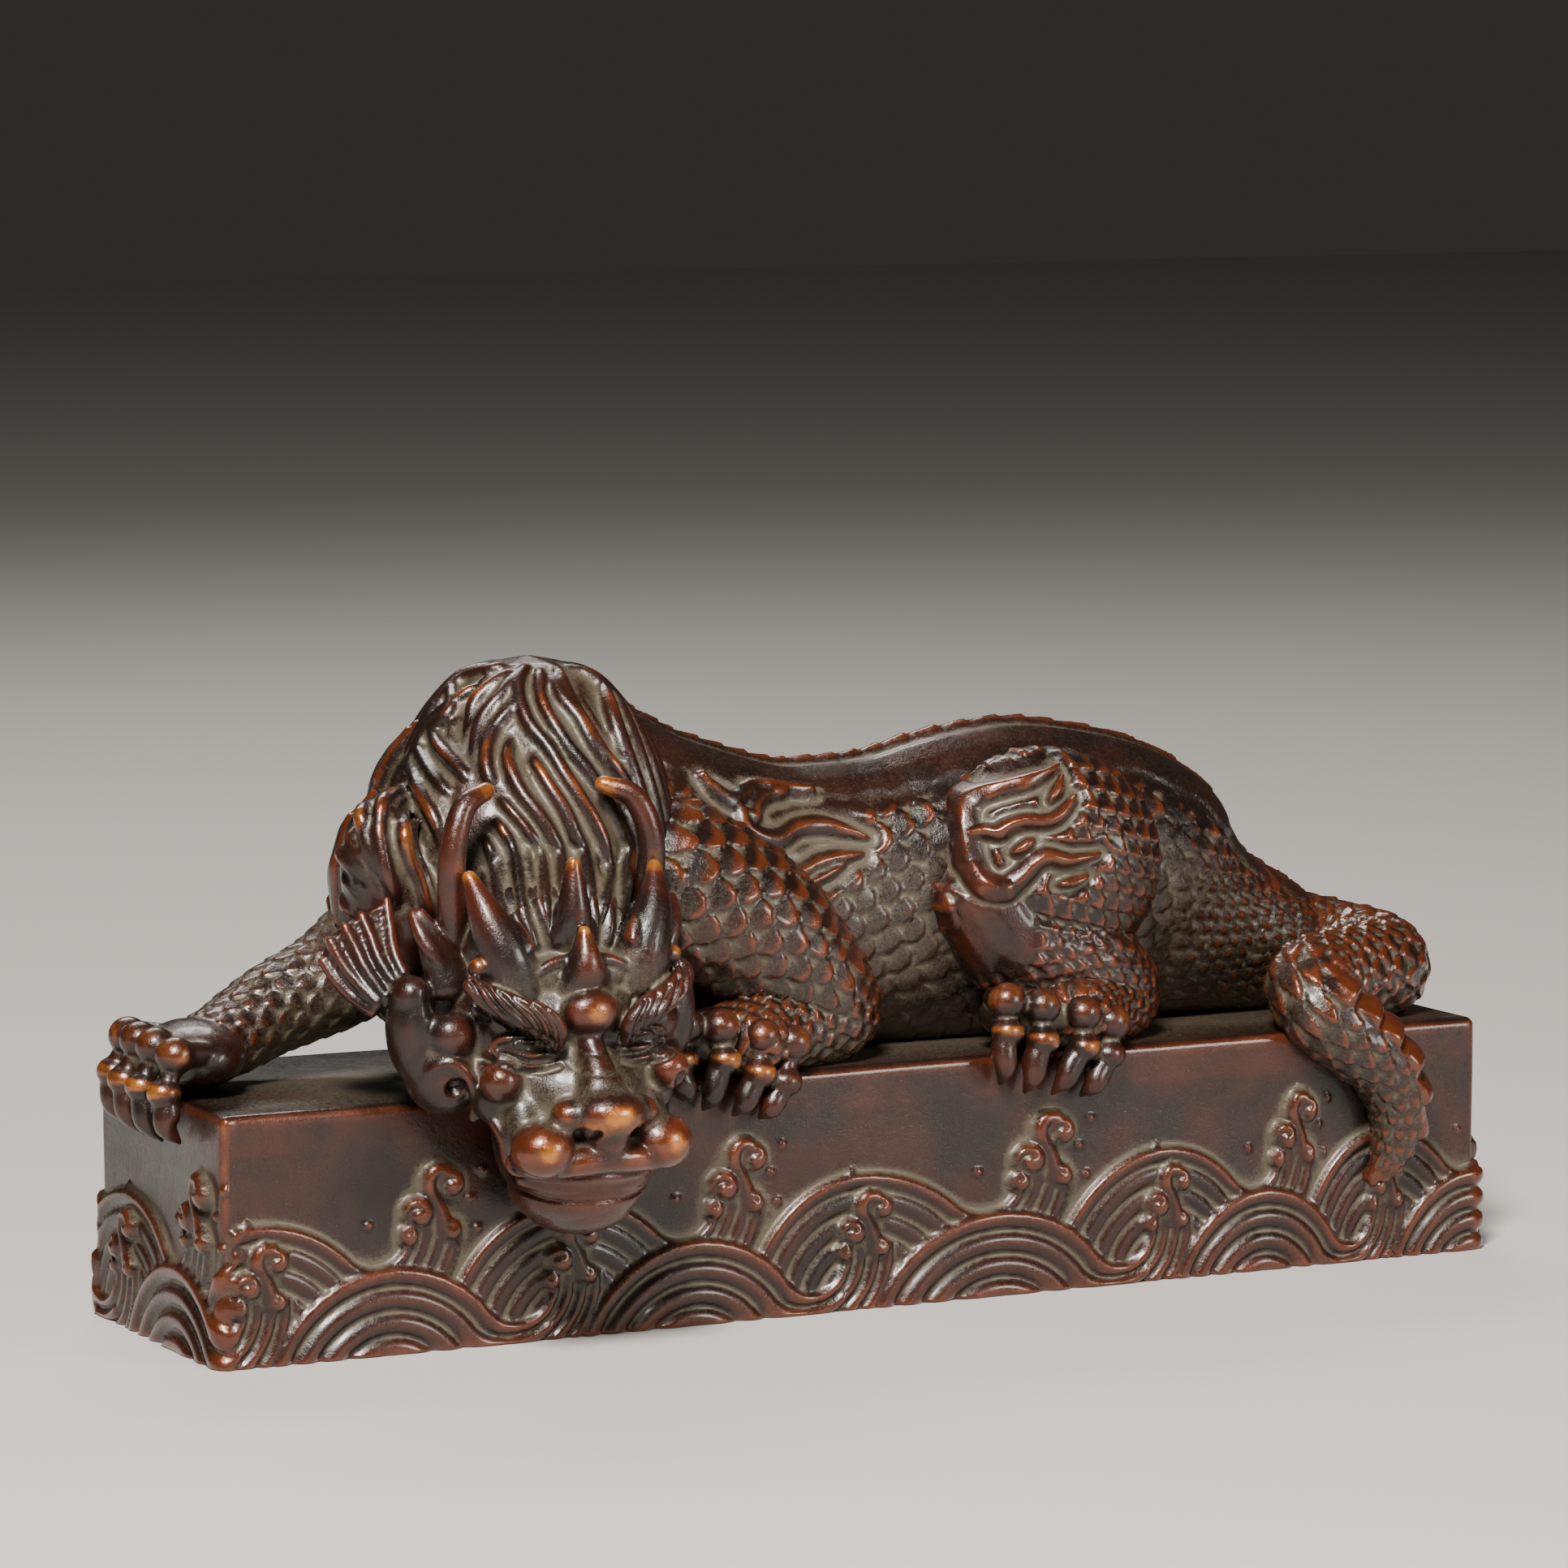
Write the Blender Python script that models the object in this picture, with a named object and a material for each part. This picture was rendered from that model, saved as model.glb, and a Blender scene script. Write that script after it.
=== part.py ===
"""Crouching guardian beast, cast in one piece with its wave-carved plinth.

Metres, +Z up. The origin is the middle of the plinth's underside. +X runs along the plinth
towards the tail, and -Y is the front, where the beast's head hangs over the edge.
"""

import math

import bmesh
import bpy
import numpy as np
from mathutils import Matrix, Vector
from mathutils.bvhtree import BVHTree

# Driving sizes, in metres.
PLINTH_LENGTH = 0.200
PLINTH_WIDTH = 0.046
PLINTH_HEIGHT = 0.0346
PLINTH_CORNER_RADIUS = 0.0014
PLINTH_EDGE_ROUND = 0.0010
BEAST_LENGTH = 0.200

# The wave carving round the plinth: round mounds of ribs that sweep up into curls, in two rows.
WAVE_PERIOD = 0.0465
WAVE_RELIEF = 0.0018
RIB_PITCH = 0.0034
SWOOP_PITCH = 0.0023
RIB_DEPTH = 0.0010
MOUND_RADIUS = 0.0175
SWOOP_RADIUS = 0.0100
STRAND_WIDTH = 0.0065
BACK_CREST = 0.0200
FRONT_CREST = 0.0118
BACK_CURL_HEIGHT = 0.0215
FRONT_CURL_HEIGHT = 0.0122
CURL_BALL_RADIUS = 0.0025
SPRAY_RADIUS = 0.0010

# How finely the forms are fused, and how many faces are kept.
FUSE_VOXEL = 0.9
FACE_STEP = 0.00055
BEAST_FACES = 5300
PLINTH_FACES = 3900

# Colour of the waxed brown patina.
PATINA = (0.075, 0.030, 0.016, 1.0)
PATINA_ROUGHNESS = 0.34

# The beast is drawn in two-hundredths of its own length, from the plinth's front top left
# corner: X along the plinth, Y back from its front face and Z up from its top.
DRAWN_LENGTH = 200.0
MIRROR_Y = 46.0

# Centre x, y, z, then half the width across and half the height.
TRUNK = (
    (42, 25, 21, 13, 20),
    (55, 25, 26, 18, 27.5),
    (75, 25, 23.5, 17.5, 25.3),
    (92, 25, 20.3, 16, 21.3),
    (102, 25, 19.8, 15.5, 20.8),
    (112, 25, 20.1, 15.5, 21.2),
    (123, 25, 21, 16, 22.8),
    (135, 25, 21.4, 16.5, 23.4),
    (147, 25, 21.2, 15.5, 21.2),
    (155, 25, 19.2, 13.5, 19.2),
    (162, 25, 15.2, 11, 16.2),
    (169, 25, 12.2, 9.4, 12.4),
    (178, 25, 9.4, 8, 9.8),
)
TAIL = (
    (172, 25, 11.4, 8.6, 11.2),
    (181, 26, 8.6, 7.6, 8.8),
    (188.5, 24, 7.4, 7, 7.6),
    (192.5, 18, 6.8, 6.8, 7),
    (190, 11.5, 6.6, 6.6, 6.6),
    (183, 8, 6.6, 6.4, 6.4),
    (176, 5, 6.8, 6.1, 6.1),
    (171.6, 1.2, 6.2, 5.8, 5.8),
    (172, -2.2, 3.2, 5.5, 5.5),
    (176.5, -3, -0.8, 5.2, 5.2),
    (181.5, -3, -5, 4.7, 4.7),
    (184.4, -2.6, -10.5, 4, 4),
    (184.6, -2.2, -16, 3, 3),
    (183, -1.6, -20.4, 1.9, 1.9),
    (181.4, -1.2, -22.2, 1, 1),
)
NEAR_UPPER_ARM = (
    (66, 17, 27, 12.5, 12.5),
    (73, 13, 25, 13, 13),
    (84, 10.5, 19.5, 11.2, 11.2),
    (92, 9.5, 12, 9.3, 9.3),
    (95, 9.5, 8.2, 8.4, 8.4),
)
NEAR_FOREARM = (
    (95.5, 9.5, 8, 8.2, 8.2),
    (89, 7.5, 6.4, 7.2, 7),
    (83, 5, 5.4, 6.6, 5.6),
    (79.5, 3, 4.6, 7.6, 4.6),
)
FAR_ARM = (
    (46, 26, 22, 11, 12),
    (36, 28, 18, 8.4, 8.6),
    (28, 28.5, 13.2, 7, 7),
    (19, 28, 9.8, 6.2, 6),
    (11, 26.5, 6.2, 6.4, 5),
    (4.5, 25, 4.2, 7.6, 4),
)
THIGH_CENTRE = (133, 12.5, 25.5)
THIGH_RADII = (18.2, 12, 16.6)
SHIN = (
    (121.5, 9.5, 21.5, 7.5, 7.5),
    (126, 8.5, 15.5, 7.5, 7.8),
    (136, 8.5, 11.5, 7.2, 8.4),
    (143, 9.5, 6.8, 6.4, 7),
)
HIND_FOOT = (
    (143.5, 9.5, 5.8, 6.2, 6),
    (138, 7, 5.4, 6.6, 5.8),
    (132, 4, 5, 7.8, 5),
)

# The head is drawn round a point between the eyes: a to the beast's left, b forward, c up.
HEAD_AT = (47.0, -7.0, 7.4)
NECK = (
    ((54, 20, 31.2), (19.5, 20, 26)),
    ((50.5, 13.5, 26), (20, 17, 25)),
    ((47.5, 2, -2), (17, 13, 15)),
)
SKULL = (
    ((0, -4, 3), (16.2, 13, 16)),
    ((0, -3.5, 14), (14.5, 8.5, 10)),
    ((0, 3, 5.2), (13.5, 7.6, 6)),
    ((0, 2.4, -2.5), (14, 8, 7.5)),
    ((0, 3, -9), (11, 11.6, 8)),
    ((0, 10.6, -13), (10.5, 6.6, 5)),
    ((0, 2.5, -17), (11.6, 12.2, 6.6)),
)
FACE_MIDDLE = (
    ((0, 10.4, 6.2), (4.2, 2.8, 3.2)),
    ((0, 14.4, -8.4), (4.4, 3.4, 3)),
)
FACE_SIDES = (
    ((8.9, 7.6, 0.6), (3.5, 2.6, 2.3)),
    ((12.3, 7.4, -3), (3.8, 3.6, 3.6)),
    ((5.4, 13.4, -8.4), (2.6, 2.6, 2.2)),
    ((9.6, 14.4, -12.2), (4.5, 4.3, 4.3)),
    ((14.5, 5.2, 12.4), (2.2, 2.2, 2.2)),
    ((14.8, 2, 3.2), (4.2, 4.2, 5.2)),
    ((20.6, -1.6, 4), (5, 5, 9)),
    ((16.4, -2, -5), (6.4, 6.5, 8)),
)
BROW = (
    (4.4, 10.6, 2, 2.6, 2.6),
    (7.6, 10.6, 4.6, 3, 3),
    (11.4, 9, 7.2, 2.8, 2.8),
    (14.2, 6.6, 9.8, 2.2, 2.2),
)
LIP = ((0, 14.8, -15, 2.6, 2.4), (6, 14.4, -15.6, 2.7, 2.5), (11, 11, -16.2, 2.4, 2.4))
LOWER_LIP = ((0, 13, -20.6, 2.5, 2), (6, 12.2, -20.4, 2.5, 2), (11.2, 8, -19.6, 2.3, 2))
BRIDGE = ((0, 9.4, 2.6, 3.6, 2.6), (0, 10.8, -2, 3, 2.6), (0, 13.4, -6.4, 3.4, 2.8))
BIG_HORN = ((9, 4.8, 8.6, 4.5, 4.5), (10.5, 5.4, 13.6, 3.6, 3.6), (12.5, 4, 19, 2.3, 2.3), (13.9, 1.4, 24, 0.9, 0.9))
MIDDLE_HORN = ((0, 2, 14, 3.8, 3.8), (0, 4.8, 18.6, 2.6, 2.6), (0, 4.9, 26, 0.9, 0.9))
FRONT_HORN = ((0, 6.4, 8.4, 4.2, 3.6), (0, 8.6, 11.8, 2.6, 2.6), (0, 8.2, 16.2, 0.9, 0.9))
FEELER = (
    (15, -2, 14, 2.4, 2.4),
    (15.9, -0.4, 21, 2.3, 2.3),
    (15.4, -0.8, 28, 2, 2),
    (12.8, -2.6, 33.6, 1.8, 1.8),
    (8.9, -4.2, 35.4, 1.4, 1.4),
)
EAR = ((15.5, -0.5, 9.5, 4, 2), (18.5, -2, 14.5, 3, 1.8), (21.5, -3.4, 20, 0.9, 0.9))
WHORL_CENTRE = (16.4, 3.2, -6.4)
WHORL_RADIUS = 3.4
WHORL_TUBE = 1.5
FIN_ROOT = (21, -3, 7.5)
FIN_LENGTH = 14.0
FIN_RIBS = 6
FIN_RIB_RADIUS = 1.0

# Locks of the mane, combed along the neck from its hump to the crown, and a tuft behind one jaw.
MANE_AXIS = ((54, 25, 43), (47, -1, 11))
MANE_LOCKS = 13
MANE_LOCK_RADIUS = 2.2
MANE_SPREAD = (-118, 96)
MANE_GATHER = 0.5
TUFT_LOCKS = 4
TUFT_LOCK_RADIUS = 2.0

# Paws: middle of the knuckles, the way the toes point, and the way down over the edge.
TOES = 4
TOE_PITCH = 4.3
TOE_RADIUS = 2.7
CLAW_LENGTH = 9.5


def spline(rows, per_span=6):
    """Rows of numbers joined by a smooth curve that passes through each of them."""
    rows = np.array(rows, float)
    padded = np.vstack([2 * rows[0] - rows[1], rows, 2 * rows[-1] - rows[-2]])
    out = []
    for i in range(1, len(padded) - 2):
        p0, p1, p2, p3 = padded[i - 1 : i + 3]
        for t in np.arange(per_span) / per_span:
            out.append(0.5 * (2 * p1 + (p2 - p0) * t + (2 * p0 - 5 * p1 + 4 * p2 - p3) * t * t
                              + (3 * p1 - p0 - 3 * p2 + p3) * t ** 3))
    out.append(padded[-2])
    return np.array(out)


def add_tube(bm, rows, sides=14, per_span=4):
    """A limb: a smooth tube of oval sections with round ends, through rows of x, y, z, across, up."""
    rows = spline(rows, per_span)
    centres, across, height = rows[:, :3], rows[:, 3], rows[:, 4]
    tangents = np.gradient(centres, axis=0)
    tangents /= np.linalg.norm(tangents, axis=1)[:, None]
    up = np.array([0.0, 0.0, 1.0]) if abs(tangents[0][2]) < 0.9 else np.array([0.0, -1.0, 0.0])
    sections = []
    for centre, tangent, wide, tall in zip(centres, tangents, across, height):
        up = up - tangent * (up @ tangent)
        up /= np.linalg.norm(up)
        sections.append((centre, tangent, np.cross(up, tangent), up.copy(), wide, tall))
    turns = np.linspace(0, 2 * math.pi, sides, endpoint=False)

    def ring(section, slide, shrink):
        centre, tangent, side, top, wide, tall = section
        middle = centre + tangent * slide
        return [bm.verts.new(middle + side * math.cos(a) * wide * shrink + top * math.sin(a) * tall * shrink)
                for a in turns]

    def cap(section, sign):
        reach = min(section[4], section[5])
        made = [ring(section, sign * reach * math.sin(f), math.cos(f)) for f in (1.25, 0.8, 0.4)]
        tip = bm.verts.new(section[0] + section[1] * sign * reach)
        return made, tip

    start_rings, start_tip = cap(sections[0], -1)
    end_rings, end_tip = cap(sections[-1], 1)
    rings = start_rings + [ring(s, 0, 1) for s in sections] + end_rings[::-1]
    for low, high in zip(rings, rings[1:]):
        for i in range(sides):
            j = (i + 1) % sides
            bm.faces.new((low[i], low[j], high[j], high[i]))
    for i in range(sides):
        j = (i + 1) % sides
        bm.faces.new((start_tip, rings[0][j], rings[0][i]))
        bm.faces.new((end_tip, rings[-1][i], rings[-1][j]))


def add_egg(bm, centre, radii):
    """An ellipsoid."""
    matrix = Matrix.Translation(centre) @ Matrix.Diagonal((*radii, 1.0))
    bmesh.ops.create_icosphere(bm, subdivisions=3, radius=1.0, matrix=matrix)


def head_point(row, side=1):
    """A place drawn on the head, in the beast's own frame. side -1 mirrors it."""
    a, b, c = row[:3]
    x, y, z = HEAD_AT
    return (x + side * a, y - b, z + c, *row[3:])


def mirrored(rows):
    """The same rows on the far side of the plinth's middle."""
    return [(x, MIRROR_Y - y, z, wide, tall) for x, y, z, wide, tall in rows]


def add_paw(bm, middle, forward, drop):
    """Four toes over an edge, each with two knuckles and a long claw against the face below."""
    middle, forward, drop = Vector(middle), Vector(forward), Vector(drop)
    along = forward.cross(drop)
    for k in range(TOES):
        shift = k - (TOES - 1) / 2
        root = middle + along * shift * TOE_PITCH - forward * (2.2 + 0.5 * shift * shift)
        knuckle = root + forward * 3.2 - drop * 0.4
        joint = knuckle + forward * 2.3 + drop * 3.4
        add_tube(bm, [(*root, 2.4, 2.4), (*knuckle, TOE_RADIUS, TOE_RADIUS), (*joint, 2.1, 2.1)], 10, 3)
        claw_top = joint - forward * 0.3 + drop * 1.2
        claw_end = joint - forward * 1.7 + drop * CLAW_LENGTH
        claw_middle = (claw_top + claw_end) / 2 + forward * 0.9
        add_tube(bm, [(*claw_top, 1.9, 1.9), (*claw_middle, 1.7, 1.7), (*claw_end, 0.6, 0.6)], 10, 3)


def add_body(bm):
    """Trunk, coiled tail, three folded legs and the long foreleg that reaches the plinth's end."""
    add_tube(bm, TRUNK, 20)
    add_tube(bm, TAIL)
    add_tube(bm, NEAR_UPPER_ARM)
    add_tube(bm, NEAR_FOREARM)
    add_tube(bm, FAR_ARM)
    for rows in (SHIN, HIND_FOOT):
        add_tube(bm, rows)
        add_tube(bm, mirrored(rows))
    x, y, z = THIGH_CENTRE
    add_egg(bm, (x, y, z), THIGH_RADII)
    add_egg(bm, (x, MIRROR_Y - y, z), THIGH_RADII)


def add_paws(bm):
    """The near forepaw and both hind paws grip the long edges, and the far forepaw the left end."""
    down = (0, 0, -1)
    add_paw(bm, (79, 0, 3.6), (0, -1, 0), down)
    add_paw(bm, (130, 0, 3.6), (0, -1, 0), down)
    add_paw(bm, (130, MIRROR_Y, 3.6), (0, 1, 0), down)
    add_paw(bm, (0, 25, 3.6), (-1, 0, 0), down)


def add_neck(bm):
    """The arched neck that carries the head over the plinth's edge."""
    for centre, radii in NECK:
        add_egg(bm, centre, radii)
    for centre, radii in SKULL[:1]:
        add_egg(bm, head_point(centre), radii)


def add_head(bm):
    """Skull, muzzle, brows, cheeks, jaw lobes, horns, feelers and ears."""
    for centre, radii in SKULL + FACE_MIDDLE:
        add_egg(bm, head_point(centre), radii)
    for rows in (MIDDLE_HORN, FRONT_HORN, BRIDGE):
        add_tube(bm, [head_point(r) for r in rows])
    for side in (-1, 1):
        for centre, radii in FACE_SIDES:
            add_egg(bm, head_point(centre, side), radii)
        for rows in (BROW, LIP, LOWER_LIP, BIG_HORN, FEELER, EAR):
            add_tube(bm, [head_point(r, side) for r in rows])
        add_whorl(bm, side)
        add_fin(bm, side)


def add_whorl(bm, side):
    """The shell-like curl at the corner of the mouth."""
    a, b, c = WHORL_CENTRE
    rows = []
    for k in range(8):
        turn = math.radians(40 * k - 60)
        radius = WHORL_RADIUS * (1 - 0.06 * k)
        tube = WHORL_TUBE * (1 - 0.06 * k)
        rows.append((a - radius * math.cos(turn) * 0.8, b + radius * math.cos(turn) * 0.5,
                     c + radius * math.sin(turn), tube, tube))
    add_tube(bm, [head_point(r, side) for r in rows], 10, 3)


def add_fin(bm, side):
    """The ribbed fin that fans out behind the jaw lobe."""
    a, b, c = FIN_ROOT
    for k in range(FIN_RIBS):
        turn = math.radians(100 - 17 * k)
        reach = FIN_LENGTH * (1 - 0.05 * abs(k - 1.5))
        spread = reach * math.cos(turn)
        out, back = (spread, 0) if side < 0 else (0.3 * spread, 0.8 * spread)
        tip = (a + out, b - 1.5 - 0.5 * k - back, c + reach * math.sin(turn))
        rows = [(a, b, c, FIN_RIB_RADIUS, 1.6), (*tip, FIN_RIB_RADIUS, 1.2)]
        add_tube(bm, [head_point(r, side) for r in rows], 8, 4)


def add_mane(bm, carrier):
    """Locks laid on the neck from its hump to the crown, and a tuft that curls behind one jaw."""
    top, foot = (Vector(p) for p in MANE_AXIS)
    down = (foot - top).normalized()
    front = (Vector((0, 0, 1)) - down * down.z).normalized()
    side = down.cross(front)
    first, last = MANE_SPREAD
    for k in range(MANE_LOCKS):
        share = k / (MANE_LOCKS - 1)
        turn = math.radians(first + (last - first) * share)
        rows = []
        for t in np.linspace(-0.12, 1.04 - 0.05 * (k % 3), 9):
            gather = MANE_GATHER + (1 - MANE_GATHER) * min(1.0, max(0.0, t) * 1.25)
            angle = turn * gather + 0.16 * math.sin(2.4 * math.pi * t)
            way = front * math.cos(angle) + side * math.sin(angle)
            spot, _, _, _ = carrier.ray_cast(top + (foot - top) * t, way)
            if spot is None:
                continue
            lift = 0.1 if k % 2 else 1.7
            radius = MANE_LOCK_RADIUS * (0.75 + 0.3 * math.sin(math.pi * min(1, max(0, t))))
            rows.append((*(spot + way * lift), radius, radius))
        add_tube(bm, rows, 10, 3)
    add_egg(bm, head_point((19.5, -15, 24), -1), (5, 6, 10))
    for k in range(TUFT_LOCKS):
        reach, back = 1 - 0.2 * k, 1.8 * k
        size = TUFT_LOCK_RADIUS
        rows = [(17, back - 20, 36 - k, size, size), (19 + 5 * reach, back - 18, 36 - 2 * k, size, size),
                (19 + 9 * reach, back - 16, 29 - 2 * k, size, size),
                (19 + 6.5 * reach, back - 12, 20 - 1.5 * k, size, size),
                (19 + 2 * reach, back - 8, 12 - k, 0.6 * size, 0.6 * size)]
        add_tube(bm, [head_point(r, -1) for r in rows], 10, 3)


def to_object(bm, name):
    """A linked object with this mesh, and the bmesh freed."""
    bmesh.ops.recalc_face_normals(bm, faces=bm.faces)
    mesh = bpy.data.meshes.new(name)
    bm.to_mesh(mesh)
    bm.free()
    obj = bpy.data.objects.new(name, mesh)
    bpy.context.scene.collection.objects.link(obj)
    return obj


def applied(obj):
    """The object's mesh with its modifiers applied, in place."""
    graph = bpy.context.evaluated_depsgraph_get()
    made = bpy.data.meshes.new_from_object(obj.evaluated_get(graph))
    old = obj.data
    obj.modifiers.clear()
    obj.data = made
    bpy.data.meshes.remove(old)
    return obj


def fused(obj, voxel, soften):
    """Overlapping shapes made one skin, with the creases softened."""
    remesh = obj.modifiers.new("one_skin", "REMESH")
    remesh.mode = "VOXEL"
    remesh.voxel_size = voxel
    smooth = obj.modifiers.new("soften", "SMOOTH")
    smooth.iterations = soften
    return applied(obj)


def kept_faces(obj, count):
    """The skin with only about this many triangles, most of them where it curves."""
    obj.data.calc_loop_triangles()
    thin = obj.modifiers.new("fewer_faces", "DECIMATE")
    thin.ratio = min(1.0, count / len(obj.data.loop_triangles))
    thin.use_collapse_triangulate = True
    return applied(obj)


def make_beast():
    """The whole animal as one closed skin, in metres on the plinth."""
    base = bmesh.new()
    add_neck(base)
    carrier_object = fused(to_object(base, "neck_form"), FUSE_VOXEL * 1.3, 6)
    carrier = BVHTree.FromPolygons([v.co for v in carrier_object.data.vertices],
                                   [p.vertices for p in carrier_object.data.polygons])
    bpy.data.objects.remove(carrier_object)
    bm = bmesh.new()
    add_body(bm)
    add_neck(bm)
    add_head(bm)
    add_mane(bm, carrier)
    add_paws(bm)
    beast = fused(to_object(bm, "beast"), FUSE_VOXEL, 2)
    kept_faces(beast, BEAST_FACES)
    unit = BEAST_LENGTH / DRAWN_LENGTH
    corner = Vector((-PLINTH_LENGTH / 2, -PLINTH_WIDTH / 2, PLINTH_HEIGHT))
    beast.data.transform(Matrix.Translation(corner) @ Matrix.Scale(unit, 4))
    return beast


def eased(values, low, high):
    """0 below low, 1 above high and a smooth rise between."""
    t = np.clip((values - low) / (high - low), 0, 1)
    return t * t * (3 - 2 * t)


def wave_row(along, z, foot, crest, curl, lift, ribbed):
    """Relief of one row of waves whose first curl stands at foot: where it is, and how high."""
    mound_z = crest - MOUND_RADIUS
    rise = curl - mound_z
    run = math.sqrt((MOUND_RADIUS + SWOOP_RADIUS) ** 2 - rise ** 2)
    swoop_x = WAVE_PERIOD - SWOOP_RADIUS
    mound_x = swoop_x - run
    local = np.mod(along - foot, WAVE_PERIOD)

    def depths(x):
        under_mound = MOUND_RADIUS - np.hypot(x - mound_x, z - mound_z)
        under_swoop = np.hypot(x - swoop_x, z - curl) - SWOOP_RADIUS
        swooping = ((x - mound_x) * rise - (z - mound_z) * run > 0) & (z < curl)
        return under_mound, under_swoop, swooping

    mound, swoop, swooping = depths(local)
    _, strands, _ = depths(local + WAVE_PERIOD)
    depth = np.where(swooping, swoop, mound)
    behind = (depth < 0) & (strands > 0) & (strands < STRAND_WIDTH) & (z < curl)
    depth = np.where(behind, strands, depth)
    turned = np.arctan2(local - swoop_x, curl - z) - math.atan2(-run, rise)
    pitch = RIB_PITCH + (SWOOP_PITCH - RIB_PITCH) * np.where(swooping, eased(turned, 0, 1), 0)
    pitch = np.where(behind, SWOOP_PITCH, pitch)
    share = np.mod(depth / pitch + 0.12, 1.0)
    rib = np.abs(2 * share - 1) ** 1.5
    return eased(depth, -0.0002, 0.0004), lift - RIB_DEPTH * (1 - rib) * ribbed


def add_ball(relief, along, z, centre_s, centre_z, radius, lift):
    """A rounded knob on the face."""
    gap = ((along - centre_s) ** 2 + (z - centre_z) ** 2) / radius ** 2
    knob = lift + 0.6 * radius * np.sqrt(np.clip(1 - gap, 0, 1))
    return np.where(gap < 1, np.maximum(relief, knob), relief)


def add_curl(relief, along, z, foot, top, scale, lift):
    """The curled head of a wave: a hooked knob, a round one and two small ones below."""
    radius = CURL_BALL_RADIUS * scale
    for ds, dz, size in ((1.0, 1.6, 1.12), (0, 0, 1), (-0.5, -1.45, 0.7), (1.6, -1.4, 0.7)):
        relief = add_ball(relief, along, z, foot + ds * radius, top + dz * radius, size * radius, lift)
    return relief


def face_relief(along, z, span, start, ribbed):
    """Height of the carving over one face of the plinth. start is the first front curl's place."""
    half = WAVE_PERIOD / 2
    relief = np.zeros_like(along)
    back_lift, front_lift = 0.6 * WAVE_RELIEF, WAVE_RELIEF
    inside, height = wave_row(along, z, start + half, BACK_CREST, BACK_CURL_HEIGHT, back_lift, ribbed)
    relief = relief * (1 - inside) + height * inside
    first = math.floor(-start / WAVE_PERIOD) - 1
    count = math.ceil(span / WAVE_PERIOD) + 3
    for k in range(first, first + count):
        foot = start + half + k * WAVE_PERIOD
        relief = add_curl(relief, along, z, foot, BACK_CURL_HEIGHT, 1.0, back_lift)
        for ds, dz in ((0.0075, -0.0035), (0.0105, 0.001), (-0.0085, -0.0045)):
            relief = add_ball(relief, along, z, foot + ds, BACK_CURL_HEIGHT + dz, SPRAY_RADIUS, 0)
    inside, height = wave_row(along, z, start, FRONT_CREST, FRONT_CURL_HEIGHT, front_lift, ribbed)
    relief = relief * (1 - inside) + height * inside
    for k in range(first, first + count):
        relief = add_curl(relief, along, z, start + k * WAVE_PERIOD, FRONT_CURL_HEIGHT, 0.86, front_lift)
    return relief


def outline(count_long, count_short):
    """Points and outward directions round the plinth, with the face and place along it."""
    length, width, radius = PLINTH_LENGTH, PLINTH_WIDTH, PLINTH_CORNER_RADIUS
    faces = ((0, (-1, -1), (1, 0), length, count_long), (1, (1, -1), (0, 1), width, count_short),
             (2, (1, 1), (-1, 0), length, count_long), (3, (-1, 1), (0, -1), width, count_short))
    rows = []
    for face, (sx, sy), (dx, dy), span, count in faces:
        corner = np.array([sx * length / 2, sy * width / 2])
        way = np.array([dx, dy], float)
        out = np.array([dy, -dx], float)
        for s in np.linspace(radius, span - radius, count):
            rows.append((*(corner + way * s), *out, face, s))
        turned = np.array([-dy, dx], float)
        centre = corner + way * (span - radius) - out * radius
        for f in (0.25, 0.5, 0.75):
            lean = out * math.cos(f * math.pi / 2) + way * math.sin(f * math.pi / 2)
            rows.append((*(centre + lean * radius), *lean, face, span - radius * (1 - f)))
    return np.array(rows)


def make_plinth():
    """The rectangular block with waves carved round its lower two thirds."""
    rows = outline(round(PLINTH_LENGTH / FACE_STEP), round(PLINTH_WIDTH / FACE_STEP))
    relief_top = BACK_CURL_HEIGHT + 3.2 * CURL_BALL_RADIUS
    levels = np.concatenate([[-0.002], np.arange(0, relief_top, FACE_STEP),
                             [PLINTH_HEIGHT - PLINTH_EDGE_ROUND]])
    starts = (0.0053, 0.0140, 0.0053, 0.0140)
    bm = bmesh.new()
    rings = []
    for z in levels:
        relief = np.zeros(len(rows))
        for face, span in enumerate((PLINTH_LENGTH, PLINTH_WIDTH, PLINTH_LENGTH, PLINTH_WIDTH)):
            chosen = rows[:, 4] == face
            level = np.full(chosen.sum(), max(z, 0.0))
            relief[chosen] = face_relief(rows[chosen, 5], level, span, starts[face], face != 2)
        relief *= 1 - float(eased(np.array(z), relief_top - 0.001, relief_top))
        xy = rows[:, :2] + rows[:, 2:4] * relief[:, None]
        rings.append([bm.verts.new((x, y, z)) for x, y in xy])
    for f in (0.5, 1.0):
        drop = PLINTH_EDGE_ROUND * (1 - math.sin(f * math.pi / 2))
        inset = PLINTH_EDGE_ROUND * (1 - math.cos(f * math.pi / 2))
        xy = rows[:, :2] - rows[:, 2:4] * inset
        rings.append([bm.verts.new((x, y, PLINTH_HEIGHT - drop)) for x, y in xy])
    for low, high in zip(rings, rings[1:]):
        for i in range(len(low)):
            j = (i + 1) % len(low)
            bm.faces.new((low[i], low[j], high[j], high[i]))
    bm.faces.new(rings[0][::-1])
    bm.faces.new(rings[-1])
    plinth = kept_faces(to_object(bm, "plinth"), PLINTH_FACES)
    return plinth


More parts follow.
